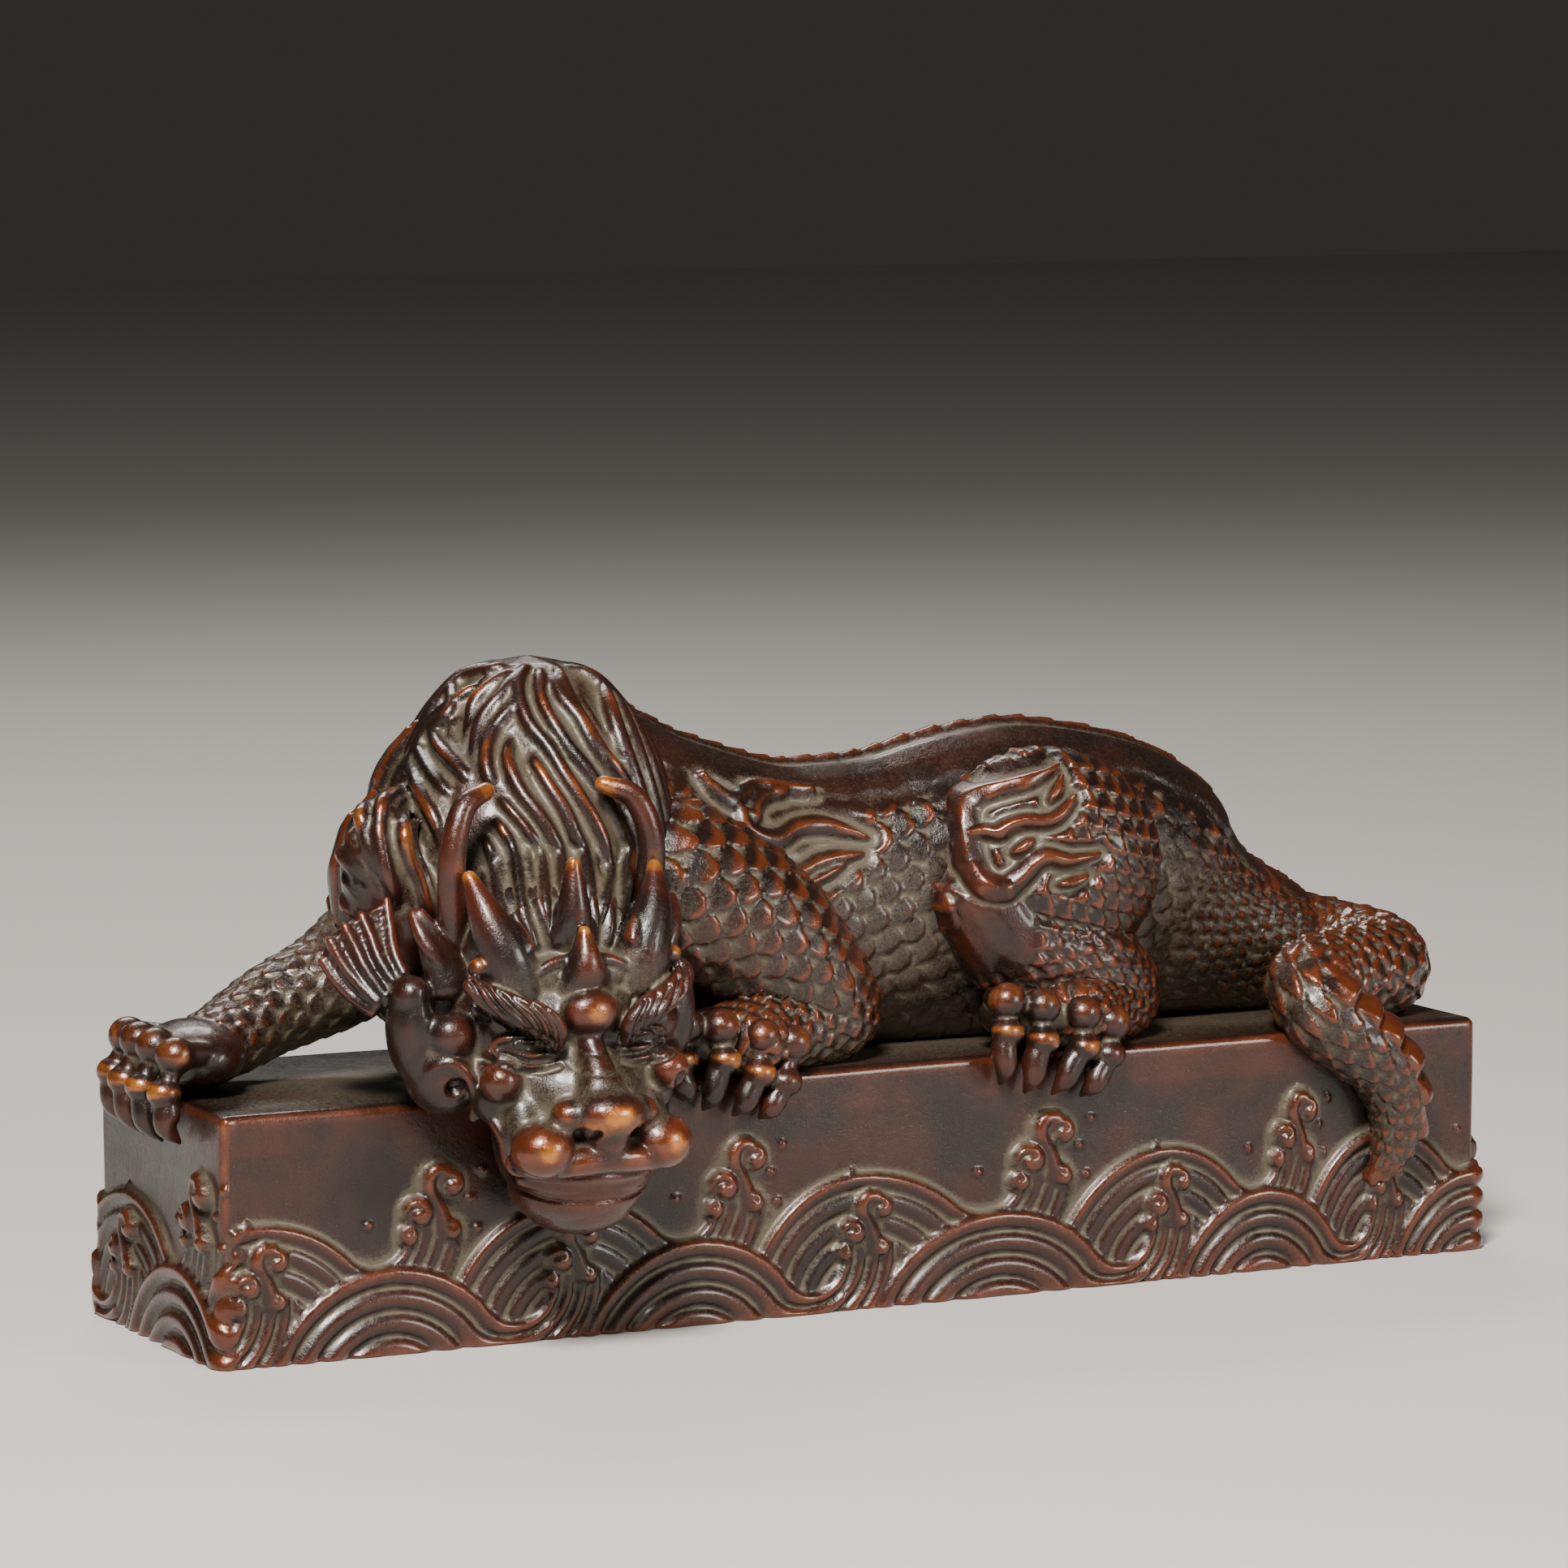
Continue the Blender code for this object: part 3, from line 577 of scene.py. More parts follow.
def make_material():
    """Brown-black patina, red where hands have worn the crests, golden on the most rubbed, with
    old dust in every hollow."""
    material = bpy.data.materials.new("guardian_patina")
    material.use_nodes = True
    tree = material.node_tree
    tree.nodes.clear()
    place = Value(tree, tree.nodes.new("ShaderNodeTexCoord").outputs["Object"])

    def read(name):
        return place.node("ShaderNodeAttribute", {"attribute_name": name}, {}, 2)

    def noise(scale, detail, roughness=0.55):
        return place.node("ShaderNodeTexNoise", {},
                          {"Vector": place, "Scale": scale, "Detail": detail, "Roughness": roughness})

    worn, dust, gold, red = read("worn"), read("dust"), read("gold"), read("red")
    cloud = noise(70, 4).between(0.36, 0.66)
    stain = noise(230, 5, 0.65).between(0.35, 0.70)
    grain = noise(1500, 4, 0.7)
    fine = noise(4200, 2, 0.6)
    ground = (cloud * 0.55 + stain * 0.30).blend(BLACK_PATINA, BROWN_PATINA)
    ground = (red * (0.15 + 0.85 * cloud)).blend(ground, RED_PATINA)
    rubbed = (worn + (grain - 0.5) * 0.35).between(0.15, 0.80)
    colour = (rubbed * (0.62 + 0.38 * stain)).blend(ground, WORN_RED)
    golden = (gold * worn * (0.25 + 0.7 * grain + 0.6 * stain)).between(0.12, 0.80)
    colour = golden.blend(colour, RUBBED_GOLD)
    dusty = (dust + (grain - 0.5) * 0.7 + (fine - 0.5) * 0.8).between(0.20, 0.90)
    # The dust colour. Where the dust mark is high on the plinth's top, it also paints a sheen.
    colour = (dusty * 0.92).blend(colour, DUST_AND_SHEEN)
    roughness = 0.25 + 0.07 * stain + 0.25 * (grain - 0.4) + 0.13 * dusty - 0.08 * rubbed
    metal = 0.12 + 0.30 * rubbed + 0.06 * dusty
    height = grain * 0.55 + fine * 0.45 + stain * 0.4
    normal = place.node("ShaderNodeBump", {},
                        {"Strength": 0.45, "Distance": 0.00026, "Height": height})
    shader = tree.nodes.new("ShaderNodeBsdfPrincipled")
    shader.inputs["Specular IOR Level"].default_value = 0.45
    shader.inputs["Coat Roughness"].default_value = 0.16
    coat = 0.32 + 0.40 * rubbed - 0.22 * dusty
    for name, value in (("Base Color", colour), ("Roughness", roughness), ("Metallic", metal),
                        ("Coat Weight", coat), ("Normal", normal)):
        tree.links.new(value.socket, shader.inputs[name])
    output = tree.nodes.new("ShaderNodeOutputMaterial")
    tree.links.new(shader.outputs[0], output.inputs["Surface"])
    return material


# The most triangles that each piece keeps.

TRIANGLES = {
    "wave_plinth": 150000,
    "scaled_trunk": 130000,
    "haunches": 100000,
    "forelegs_and_tail": 140000,
    "paws": 90000,
    "mane": 165000,
    "head": 185000,
}


def thin_out(obj, budget):
    """Fewer triangles where the skin is plain, until the piece keeps to its budget."""
    obj.data.calc_loop_triangles()
    share = budget / len(obj.data.loop_triangles)
    if share < 1:
        bpy.ops.object.select_all(action="DESELECT")
        obj.select_set(True)
        bpy.context.view_layer.objects.active = obj
        thin = obj.modifiers.new("thin_out", "DECIMATE")
        thin.ratio = share
        bpy.ops.object.modifier_apply(modifier=thin.name)


def finished(skin, name):
    """Put a carved skin on the plinth in metres and give it its finish and place in the frame."""
    obj = skin.obj
    obj.name = name
    thin_out(obj, TRIANGLES[name])
    mesh = obj.data
    corner = Vector(in_metres(np.zeros(3)))
    mesh.transform(Matrix.Translation(corner) @ Matrix.Scale(MM, 4))
    mesh.name = name
    mesh.shade_smooth()
    material = bpy.data.materials.get("guardian_patina") or make_material()
    mesh.materials.clear()
    mesh.materials.append(material)
    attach(obj, "root")
    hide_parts(NODE)
    return obj


def weather(skin, gold=0.0, red=0.0, ground=0.0, fine=5, broad=45, reach=0.16, crest=0.0, valley=0.0):
    """Mark crests as worn and hollows as dusty from how far each point stands out."""
    close = skin.standing_out(fine)
    wide = skin.standing_out(broad)
    worn = eased(close, 0.25 * reach, reach) * 0.75 + eased(wide, 0.15, 0.75) * 0.45 + crest
    hollow = eased(-close, 0.3 * reach, 1.1 * reach) * 0.6 + eased(-wide, 0.03, 0.45) * 0.8 + valley
    skin.mark("worn", skin.relaxed(worn, 1))
    skin.mark("dust", skin.relaxed(np.clip(hollow + ground, 0, 1) * (1 - eased(worn, 0.35, 0.7)), 1))
    skin.mark("gold", np.zeros(skin.count) + gold)
    skin.mark("red", np.zeros(skin.count) + red)


# The plinth and its waves. Distances along a face and heights are in millimetres.

FRONT_ROW = {"crest": 12.3, "curl": 8.0, "pitch": 3.4, "ball": 8.5, "scale": 0.92, "lift": 1.0}
BACK_ROW = {"crest": 19.5, "curl": 17.2, "pitch": 3.0, "ball": 16.3, "scale": 1.05, "lift": 0.60}
FRONT_SPACING = ((0, 0), (40, 40), (77.7, 77.7), (98.1, 98.8), (127.0, 124.2), (147.4, 145.3),
                 (168.6, 170.7), (184.1, 191.8), (201, 213))
MOUND_RADIUS = 19.0
SWOOP_RADIUS = 5.0
STRANDS_WIDTH = 8.2
STRAND_PITCH = 2.05
CURL_HOOK = ((5.2, 0.6), (4.2, 3.4), (3.0, 6.2), (3.6, 8.2), (5.4, 8.3))
CURL_BALLS = ((0, 0, 1.45), (1.3, 3.0, 2.25), (5.9, 0.4, 1.65), (6.0, 6.6, 1.95))
SPRAY = ((-5.6, 1.7), (11.3, 8.2), (9.4, 4.4), (10.6, 0.1), (22.7, 3.3))
ROW_SHIFT = 25.4
FACE_STARTS = (1.8, 9.0, 1.8, 9.0)


def wave_row(along, z, foot, row):
    """One row of waves with ribs: where it covers the face, and its height from 0 to 1."""
    period = bpy.context.scene.beast_sizes.wave_period
    depth_share = bpy.context.scene.beast_sizes.rib_depth / bpy.context.scene.beast_sizes.wave_relief
    mound_z = row["crest"] - MOUND_RADIUS
    rise = row["curl"] - mound_z
    run = math.sqrt((MOUND_RADIUS + SWOOP_RADIUS) ** 2 - rise ** 2)
    swoop_x = period - SWOOP_RADIUS
    mound_x = swoop_x - run
    local = np.mod(along - foot, period)
    stem_top = row["ball"] + 0.6

    def depths(x):
        mound = MOUND_RADIUS - np.hypot(x - mound_x, z - mound_z)
        swoop = np.hypot(x - swoop_x, z - row["curl"]) - SWOOP_RADIUS
        past = ((x - mound_x) * rise - (z - mound_z) * run > 0) & (z < stem_top)
        return mound, swoop, past

    mound, swoop, past = depths(local)
    _, strands, _ = depths(local + period)
    depth = np.where(past, swoop, mound)
    behind = (depth < 0) & (strands > 0) & (strands < STRANDS_WIDTH) & (z < stem_top)
    depth = np.where(behind, strands, depth)
    turned = np.arctan2(local - swoop_x, row["curl"] - z) - math.atan2(-run, rise)
    pitch = row["pitch"] + (STRAND_PITCH - row["pitch"]) * np.where(past, eased(turned, 0, 1.1), 0)
    pitch = np.where(behind, STRAND_PITCH, pitch)
    share = np.mod(depth / pitch, 1.0)
    from_ridge = np.abs(np.mod(share - 0.34 + 0.5, 1.0) - 0.5) / 0.5
    edge = eased(depth, -0.15, 0.35)
    height = 1 - depth_share * from_ridge ** 2.2
    height = np.where(behind, height * 0.86, height)
    return edge, height


def knob(relief, along, z, s, t, radius, base, dimple=True):
    """A rounded bead on the face, with a little turned dimple in the larger ones."""
    ds, dz = along - s, z - t
    gap = np.hypot(ds, dz) / radius
    dome = base + 0.70 * radius * np.sqrt(np.clip(1 - gap * gap, 0, 1))
    if dimple:
        turn = np.arctan2(dz, ds)
        coil = np.cos(turn - 5.2 * gap)
        dome = dome - 0.34 * radius * eased(coil, 0.35, 0.95) * eased(gap, 0.12, 0.35) * (gap < 0.85)
    return np.where(gap < 1, np.maximum(relief, dome), relief)


def curl_group(relief, along, z, foot, row, relief_size):
    """The four beads and the hook that crown a wave's strands."""
    base = relief_size * row["lift"]
    size = row["scale"]
    near = (np.abs(along - foot - 4) < 10) & (z > row["ball"] - 4)
    if not near.any():
        return relief
    s, t = along[near], z[near]
    patch = relief[near]
    route = [(foot + a * size, row["ball"] + b * size) for a, b in CURL_HOOK]
    stem = nearness(s, t, route, [1.5, 1.35, 1.2, 1.1, 1.0])
    patch = np.where(stem > 0, np.maximum(patch, base * 0.75 + 0.9 * np.sqrt(stem)), patch)
    fill_route = [(foot + 2.6 * size, row["ball"] + 0.4), (foot + 3.0 * size, row["ball"] + 3.6 * size)]
    fill = nearness(s, t, fill_route,
                    [1.3, 1.4])
    patch = np.where(fill > 0, np.maximum(patch, base * 0.6 + 0.4 * np.sqrt(fill)), patch)
    for a, b, radius in CURL_BALLS:
        patch = knob(patch, s, t, foot + a * size, row["ball"] + b * size, radius * size, base * 0.75)
    relief[near] = patch
    return relief


def face_relief(along, z, span, start, plain):
    """Height of the carving over one face of the plinth, in millimetres."""
    sizes = bpy.context.scene.beast_sizes
    relief = np.zeros_like(along)
    count = math.ceil(span / sizes.wave_period) + 2
    for row, foot in ((BACK_ROW, start + ROW_SHIFT), (FRONT_ROW, start)):
        inside, height = wave_row(along, z, foot, row)
        lift = sizes.wave_relief * row["lift"]
        if plain:
            height = 0.72 + 0.28 * height
        relief = relief * (1 - inside) + height * lift * inside
        for k in range(-2, count):
            spot = foot + k * sizes.wave_period
            relief = curl_group(relief, along, z, spot, row, sizes.wave_relief)
            if row is BACK_ROW:
                for ds, dz in SPRAY:
                    relief = knob(relief, along, z, spot + ds, row["ball"] + dz, 0.75, 0, False)
    return relief


def plinth_outline(front, ends, rear):
    """Points and outward directions round the plinth in millimetres, and the place on each face."""
    sizes = bpy.context.scene.beast_sizes
    length, width, radius = sizes.plinth_length / MM, sizes.plinth_width / MM, 1.3
    faces = ((0, (0, 0), (1, 0), length, front), (1, (length, 0), (0, 1), width, ends),
             (2, (length, width), (-1, 0), length, rear), (3, (0, width), (0, -1), width, ends))
    rows = []
    for face, corner, way, span, step in faces:
        corner, way = np.array(corner, float), np.array(way, float)
        out = np.array([way[1], -way[0]])
        for s in np.linspace(radius, span - radius, round((span - 2 * radius) / step)):
            rows.append((*(corner + way * s), *out, face, s))
        centre = corner + way * (span - radius) - out * radius
        for f in (0.2, 0.4, 0.6, 0.8):
            lean = out * math.cos(f * math.pi / 2) + way * math.sin(f * math.pi / 2)
            rows.append((*(centre + lean * radius), *lean, face, span - radius * (1 - f)))
    return np.array(rows)


def make_plinth():
    """The block: waves and curls round its lower part, a plain band above and a top painted with dust and a
    painted sheen.
    """
    sizes = bpy.context.scene.beast_sizes
    step = sizes.face_step
    rows = plinth_outline(step, step * 1.1, step * 2.2)
    length, width = sizes.plinth_length / MM, sizes.plinth_width / MM
    tall = sizes.plinth_height / MM
    carved_top = 28.5
    levels = np.concatenate([np.arange(0.15, carved_top, step), np.arange(carved_top, tall - 1.2, 0.8)])
    rng = np.random.default_rng(sizes.seed)
    waves = rng.uniform(0, 2 * math.pi, 8)
    spacing = spline(FRONT_SPACING, 8).T
    rings = []

    def flatness(s, z):
        """The faces were filed by hand, so they are not quite flat."""
        return (0.16 * np.sin(s / 17 + waves[0]) + 0.10 * np.sin(s / 7.3 + z / 9 + waves[1])
                + 0.07 * np.sin(z / 4.1 + s / 23 + waves[2]))

    for z in levels:
        relief = np.zeros(len(rows))
        for face, span in enumerate((length, width, length, width)):
            chosen = rows[:, 4] == face
            level = np.full(chosen.sum(), z)
            along = rows[chosen, 5]
            if face == 0:
                along = np.interp(along, *spacing)
            relief[chosen] = face_relief(along, level, span, FACE_STARTS[face], face == 2)
        relief *= 1 - float(eased(np.array(z), carved_top - 0.8, carved_top))
        relief += flatness(rows[:, 5], z) * float(eased(np.array(z), 0, 6)) - 0.1
        ring = rows[:, :2] + rows[:, 2:4] * relief[:, None]
        rings.append(np.column_stack([ring, np.full(len(rows), z - tall)]))
    base_relief = rings[0].copy()
    base_relief[:, 2] = -tall
    base_relief[:, :2] -= rows[:, 2:4] * 0.35
    rings.insert(0, base_relief)
    edge = rings[-1][:, :2]
    for turn in (0.2, 0.4, 0.6, 0.8, 1.0):
        angle = turn * math.pi / 2
        ring = edge - rows[:, 2:4] * (1 - math.cos(angle)) * 1.1
        height = -1.1 + 1.1 * math.sin(angle) + 0.06 * np.sin(rows[:, 5] / 9 + waves[3])
        rings.append(np.column_stack([ring, height]))
    middle = np.array([length / 2, width / 2])
    for inset in (2, 4, 7, 11, 16, 21.5):
        shrink = 1 - 2 * inset / np.array([length, width])
        ring = middle + (edge - middle) * shrink
        rings.append(np.column_stack([ring, np.zeros(len(rows))]))
    count = len(rows)
    faces = [tuple(range(count))[::-1]]
    for k in range(len(rings) - 1):
        low, high = k * count, (k + 1) * count
        for i in range(count):
            j = (i + 1) % count
            faces.append((low + i, low + j, high + j, high + i))
    top = (len(rings) - 1) * count
    faces.append(tuple(top + i for i in range(count)))
    mesh = bpy.data.meshes.new("wave_plinth")
    mesh.from_pydata(np.vstack(rings).tolist(), [], faces)
    obj = bpy.data.objects.new("wave_plinth", mesh)
    bpy.context.scene.collection.objects.link(obj)
    bm = bmesh.new()
    bm.from_mesh(mesh)
    bmesh.ops.recalc_face_normals(bm, faces=bm.faces)
    bmesh.ops.triangulate(bm, faces=[f for f in bm.faces if len(f.verts) > 4])
    bm.to_mesh(mesh)
    bm.free()
    skin = Skin(obj)
    x, y, z = skin.points.T
    on_top = z > -0.3
    from_edge = np.minimum.reduce([x, length - x, y, width - y])
    close = skin.standing_out(5)
    wide = skin.standing_out(40)
    carved = (z < carved_top - tall) & (z > -tall + 0.3)
    worn = eased(close, 0.02, 0.14) * 0.40 + eased(wide, 0.05, 0.35) * 0.26
    hollow = eased(-close, 0.03, 0.16) * 0.8 + eased(-wide, 0.08, 0.40) * 0.6
    corner = eased(-from_edge, -1.1, 0.2) * eased(z, -2.0, -0.3) * (1 - on_top * eased(from_edge, 0.8, 2.0))
    upright = eased(1.4 - np.minimum(x, length - x), 0, 1.2) * eased(1.4 - np.minimum(y, width - y), 0, 1.2)
    worn = np.where(on_top, 0.1, worn)
    worn = np.maximum(worn, np.maximum(corner * 0.75, upright * 0.62))
    standing = eased(np.maximum.reduce([-x, x - length, -y, y - width]), 0.35, 0.6)
    halo = eased(skin.relaxed(standing, 110), 0.02, 0.45) * (1 - standing) * 0.46
    # On the top the dust mark rises from the edges. It is partly real dust and partly a painted sheen for
    # light caught by the top.
    hollow = np.where(on_top, eased(from_edge, 0.5, 5) * 0.95, np.maximum(hollow * carved, halo))
    upright = upright * eased(z, -16, -11)
    skin.mark("worn", skin.relaxed(worn, 2))
    skin.mark("dust", skin.relaxed(hollow, 2))
    skin.mark("gold", upright * 0.55 + corner * 0.15)
    skin.mark("red", np.where(on_top, 0.3, np.where(carved, 0.32, 0.70)))
    return finished(skin, "wave_plinth")


# The trunk, its spine, scales and flames.

BELT_TURN = 0.50
SHOULDER_FLAMES = (
    (((78.8, 40.7), (80.5, 39.1), (83.4, 37.2), (87.3, 38.1), (91.0, 38.4), (95.3, 37.6), (97.9, 37.1)),
     (0.6, 1.3, 1.5, 1.5, 1.4, 1.1, 0.3)),
    (((92.9, 37.2), (89.3, 37.3), (87.2, 36.3), (86.4, 34.9), (84.1, 35.9)), (0.5, 1.2, 1.4, 1.3, 0.8)),
    (((83.4, 37.6), (84.1, 35.9), (84.7, 33.5), (87.7, 31.8), (90.4, 31.8), (93.4, 32.9), (97.4, 33.0),
      (100.8, 32.1), (104.4, 30.9)), (0.6, 1.2, 1.6, 1.7, 1.6, 1.5, 1.5, 1.2, 0.3)),
    (((87.1, 28.7), (92.0, 27.0), (95.6, 28.0), (98.9, 28.5), (103.2, 28.8)), (0.8, 1.3, 1.4, 1.2, 0.3)),
    (((93.6, 25.2), (97.2, 26.4), (99.9, 27.5)), (0.7, 0.9, 0.3)),
)
THIGH_FLAMES = (
    (((132.6, 39.9), (128.4, 38.6), (123.9, 37.5), (120.7, 36.5), (119.1, 35.1), (118.2, 32.7),
      (117.9, 29.8), (118.1, 26.8), (118.8, 24.4), (121.4, 23.6), (123.9, 25.2), (126.0, 27.3),
      (128.0, 28.1), (131.0, 27.5), (136.2, 28.1)),
     (0.3, 1.0, 1.1, 1.2, 1.3, 1.4, 1.7, 2.0, 2.2, 2.1, 1.8, 1.6, 1.5, 1.2, 0.3)),
    (((118.0, 31.0), (120.0, 31.7), (121.6, 31.5), (123.4, 32.6), (125.7, 33.1), (128.0, 33.0),
      (130.2, 33.6), (132.0, 34.9), (133.5, 36.2)), (1.0, 1.2, 1.3, 1.2, 1.2, 1.2, 1.1, 0.9, 0.3)),
    (((123.2, 28.8), (124.7, 29.6), (126.0, 30.6)), (0.5, 1.0, 0.4)),
    (((129.4, 35.7), (131.0, 37.0), (132.4, 38.7)), (0.4, 0.9, 0.4)),
    (((129.5, 24.2), (131.7, 24.4), (134.0, 25.2)), (0.4, 0.9, 0.3)),
)
KNEE = ((121.0, 19.0), 6.5)


def strokes(x, z, flames, grow=0.0):
    """1 on the middle of any of these strokes, 0 beyond their half widths."""
    best = np.zeros_like(x)
    for route, widths in flames:
        best = np.maximum(best, nearness(x, z, route, [w + grow for w in widths]))
    return best


def make_trunk():
    """The long body: spine crest, smooth belt, overlapping flank scales and shoulder flames."""
    sizes = bpy.context.scene.beast_sizes
    clay = Clay()
    clay.tube(TRUNK, 28, 8)
    skin = Skin(clay.fused("scaled_trunk", sizes.body_step, 6))
    along, turn, _ = follow(skin.points, TRUNK)
    x, _, z = skin.points.T
    arc = np.abs(turn) * 20.0
    lean = math.radians(22)
    rows = (along * math.cos(lean) + arc * math.sin(lean)) / sizes.scale_row
    columns = (arc * math.cos(lean) - along * math.sin(lean)) / sizes.scale_pitch
    tail_end = eased(x, 150, 164)
    field = scales(rows, columns, 0.35 * (1 - eased(np.abs(turn), 0.8, 1.1)))
    small = scales(along / 2.7, arc / 4.0, 0.8)
    field = field * (1 - tail_end) + small * tail_end
    below = eased(np.abs(turn), BELT_TURN + 0.02, BELT_TURN + 0.20)
    tall = sizes.scale_height * (0.95 - 0.15 * eased(np.abs(turn), 0.75, 1.15))
    flame = strokes(x, z, SHOULDER_FLAMES) * (np.abs(turn) > 0.42)
    shadow = strokes(x, z, SHOULDER_FLAMES, 2.2) * (np.abs(turn) > 0.42)
    clear = 1 - eased(shadow, 0.05, 0.35)
    height = field * below * tall * clear
    scallop = BELT_TURN + 0.022 * np.cos(2 * math.pi * along / 7.0)
    belt = 1 - eased(np.abs(turn), scallop - 0.02, scallop + 0.03)
    height += belt * 0.55
    side = np.abs(turn) * 20
    tooth = np.mod(along / 4.4, 1.0)
    crest = np.exp(-(side / 0.75) ** 2) * (0.45 + 0.45 * tooth)
    line = np.exp(-((side - 2.1) / 0.55) ** 2)
    height += crest * 1.0 - line * 0.30
    height += flame ** 0.6 * 1.25
    height += eased(shadow, 0.25, 0.6) * (-0.25) * (1 - eased(flame, 0, 0.2))
    skin.push(skin.relaxed(height, 1, 0.4))
    ground = 0.10 + 0.14 * belt + 0.35 * line + 0.18 * eased(shadow, 0.1, 0.6) * (1 - eased(flame, 0, 0.3))
    ground = ground + 0.35 * eased(-z, -7, -1) + 0.30 * eased(np.abs(turn), 0.8, 1.2)
    upper = 1 - eased(np.abs(turn), 0.75, 1.05)
    scaled = below * clear
    rub = eased(field, 0.62, 0.95) * scaled * (0.04 + 0.60 * upper + 0.30 * tail_end)
    deep = (1 - eased(field, 0.18, 0.55)) * scaled * (0.30 + 0.45 * upper)
    weather(skin, red=np.clip(0.10 + 0.75 * crest + 0.1 * belt, 0, 1), ground=ground, reach=0.22,
            crest=rub + 0.10 * eased(flame, 0.1, 0.5) + 0.5 * crest, valley=deep)
    return finished(skin, "scaled_trunk")


def limb_scales(points, limbs):
    """Scales laid along whichever limb each point belongs to. Each limb: rows, spacing, pitch, leaf."""
    best = np.full(len(points), np.inf)
    field = np.zeros(len(points))
    for rows, spacing, pitch, leaf in limbs:
        line = spline(rows, 12)
        along, turn, gap = follow(points, rows)
        run = np.concatenate([[0], np.cumsum(np.linalg.norm(np.diff(line[:, :3], axis=0), axis=1))])
        radius = np.interp(along, run, (line[:, 3] + line[:, 4]) / 2)
        ratio = gap / radius + 0.4 * np.clip(-along, 0, None) + 0.4 * np.clip(along - run[-1], 0, None)
        around = max(8, round(2 * math.pi * float(np.mean(line[:, 3])) / pitch))
        made = scales(along / spacing, turn / (2 * math.pi) * around, leaf)
        nearer = ratio < best
        field = np.where(nearer, made, field)
        best = np.minimum(best, ratio)
    return field


def make_haunches():
    """Both thighs with shins and heels: pointed scales, and flames over a smooth knee."""
    sizes = bpy.context.scene.beast_sizes
    clay = Clay()
    x, y, z = THIGH_CENTRE
    for side_y in (y, MIRROR_Y - y):
        clay.egg((x, side_y, z), THIGH_RADII)
    for rows in (SHIN, HIND_FOOT):
        clay.tube(rows)
        clay.tube(mirrored(rows))
    skin = Skin(clay.fused("haunches", sizes.limb_step, 6))
    points = skin.points.copy()
    points[:, 1] = np.where(points[:, 1] > MIRROR_Y / 2, MIRROR_Y - points[:, 1], points[:, 1])
    x, y, z = points.T
    down = math.radians(-46)
    forward = (x - 118) * math.cos(down) + (z - 40) * math.sin(down)
    across = -(x - 118) * math.sin(down) + (z - 40) * math.cos(down)
    thigh = scales(forward / 2.5, across / 3.1, 0.9)
    lower = limb_scales(points, ((SHIN, 2.1, 2.4, 0.8), (HIND_FOOT, 2.0, 2.4, 0.8)))
    low = eased(-z, -17.5, -13)
    field = thigh * (1 - low) + lower * low
    flame = strokes(x, z, THIGH_FLAMES) * (y < 14)
    shadow = strokes(x, z, THIGH_FLAMES, 2.0) * (y < 14)
    (kx, kz), reach = KNEE
    knee = 1 - eased(np.hypot((x - kx) * 1.15, (z - kz) * 0.8), reach * 0.75, reach * 1.15)
    clear = (1 - eased(shadow, 0.1, 0.4)) * (1 - knee)
    height = field * clear * sizes.scale_height * 0.85
    height += flame ** 0.6 * 1.6 - eased(shadow, 0.2, 0.6) * 0.35 * (1 - eased(flame, 0, 0.15))
    height += knee * 0.25
    skin.push(skin.relaxed(height, 1, 0.4))
    dusty = 0.05 + 0.5 * eased(shadow, 0.2, 0.6) * (1 - eased(flame, 0, 0.3)) + 0.3 * eased(-z, -6, -1)
    rub = eased(field, 0.50, 0.90) * clear * 0.46 + 0.18 * eased(flame, 0.1, 0.5) - 0.35 * knee
    deep = (1 - eased(field, 0.18, 0.55)) * clear * 0.65
    weather(skin, gold=0.1, red=np.clip(0.2 + 0.6 * knee + 0.4 * eased(flame, 0, 0.5), 0, 1),
            ground=dusty, reach=0.20, crest=rub, valley=deep)
    return finished(skin, "haunches")


def make_forelegs_and_tail():
    """The near foreleg, the far one that reaches the plinth's end, and the coiled tail."""
    sizes = bpy.context.scene.beast_sizes
    clay = Clay()
    limbs = ((NEAR_UPPER_ARM, 2.95, 4.7, 0.20), (NEAR_FOREARM, 2.3, 2.9, 0.6),
             (FAR_ARM, 2.8, 3.6, 0.25), (TAIL, 2.6, 3.2, 0.6))
    for rows, _, _, _ in limbs:
        clay.tube(rows)
    skin = Skin(clay.fused("forelegs_and_tail", sizes.limb_step, 6))
    field = limb_scales(skin.points, limbs)
    x, y, z = skin.points.T
    along, _, gap = follow(skin.points, TAIL)
    on_tail = (x > 160) & (gap < 16)
    outer = np.array([0.86, -0.30, 0.40])
    facing = skin.normals @ (outer / np.linalg.norm(outer))
    plate = np.mod(along / 4.6, 1.0)
    ridge = on_tail * eased(facing, 0.50, 0.72) * eased(along, 50, 58)
    far = 1 - eased(x, 44, 52)
    height = field * sizes.scale_height * (0.9 - 0.35 * far) * (1 - ridge)
    height += ridge * (0.5 + 1.2 * eased(plate, 0.0, 0.80) * (1 - eased(plate, 0.84, 1.0)))
    skin.push(skin.relaxed(height, 1, 0.4))
    high = eased(skin.normals @ np.array([0.50, -0.35, 0.79]), 0.15, 0.85)
    rub = eased(field, 0.50, 0.90) * (0.12 + 0.75 * high) * (1 - 0.55 * far) + 0.6 * ridge
    deep = (1 - eased(field, 0.18, 0.55)) * (1 - ridge) * 0.65
    weather(skin, gold=0.12, red=np.clip(0.30 + 0.5 * ridge, 0, 1), reach=0.20, crest=rub, valley=deep,
            ground=0.08 + 0.30 * (1 - high) + 0.15 * far + 0.3 * eased(-z, -5, -1) * (y > 2))
    return finished(skin, "forelegs_and_tail")


# Paws. Each toe: knuckle, joint, claw top and claw tip, as (along the edge, out of the face, up).

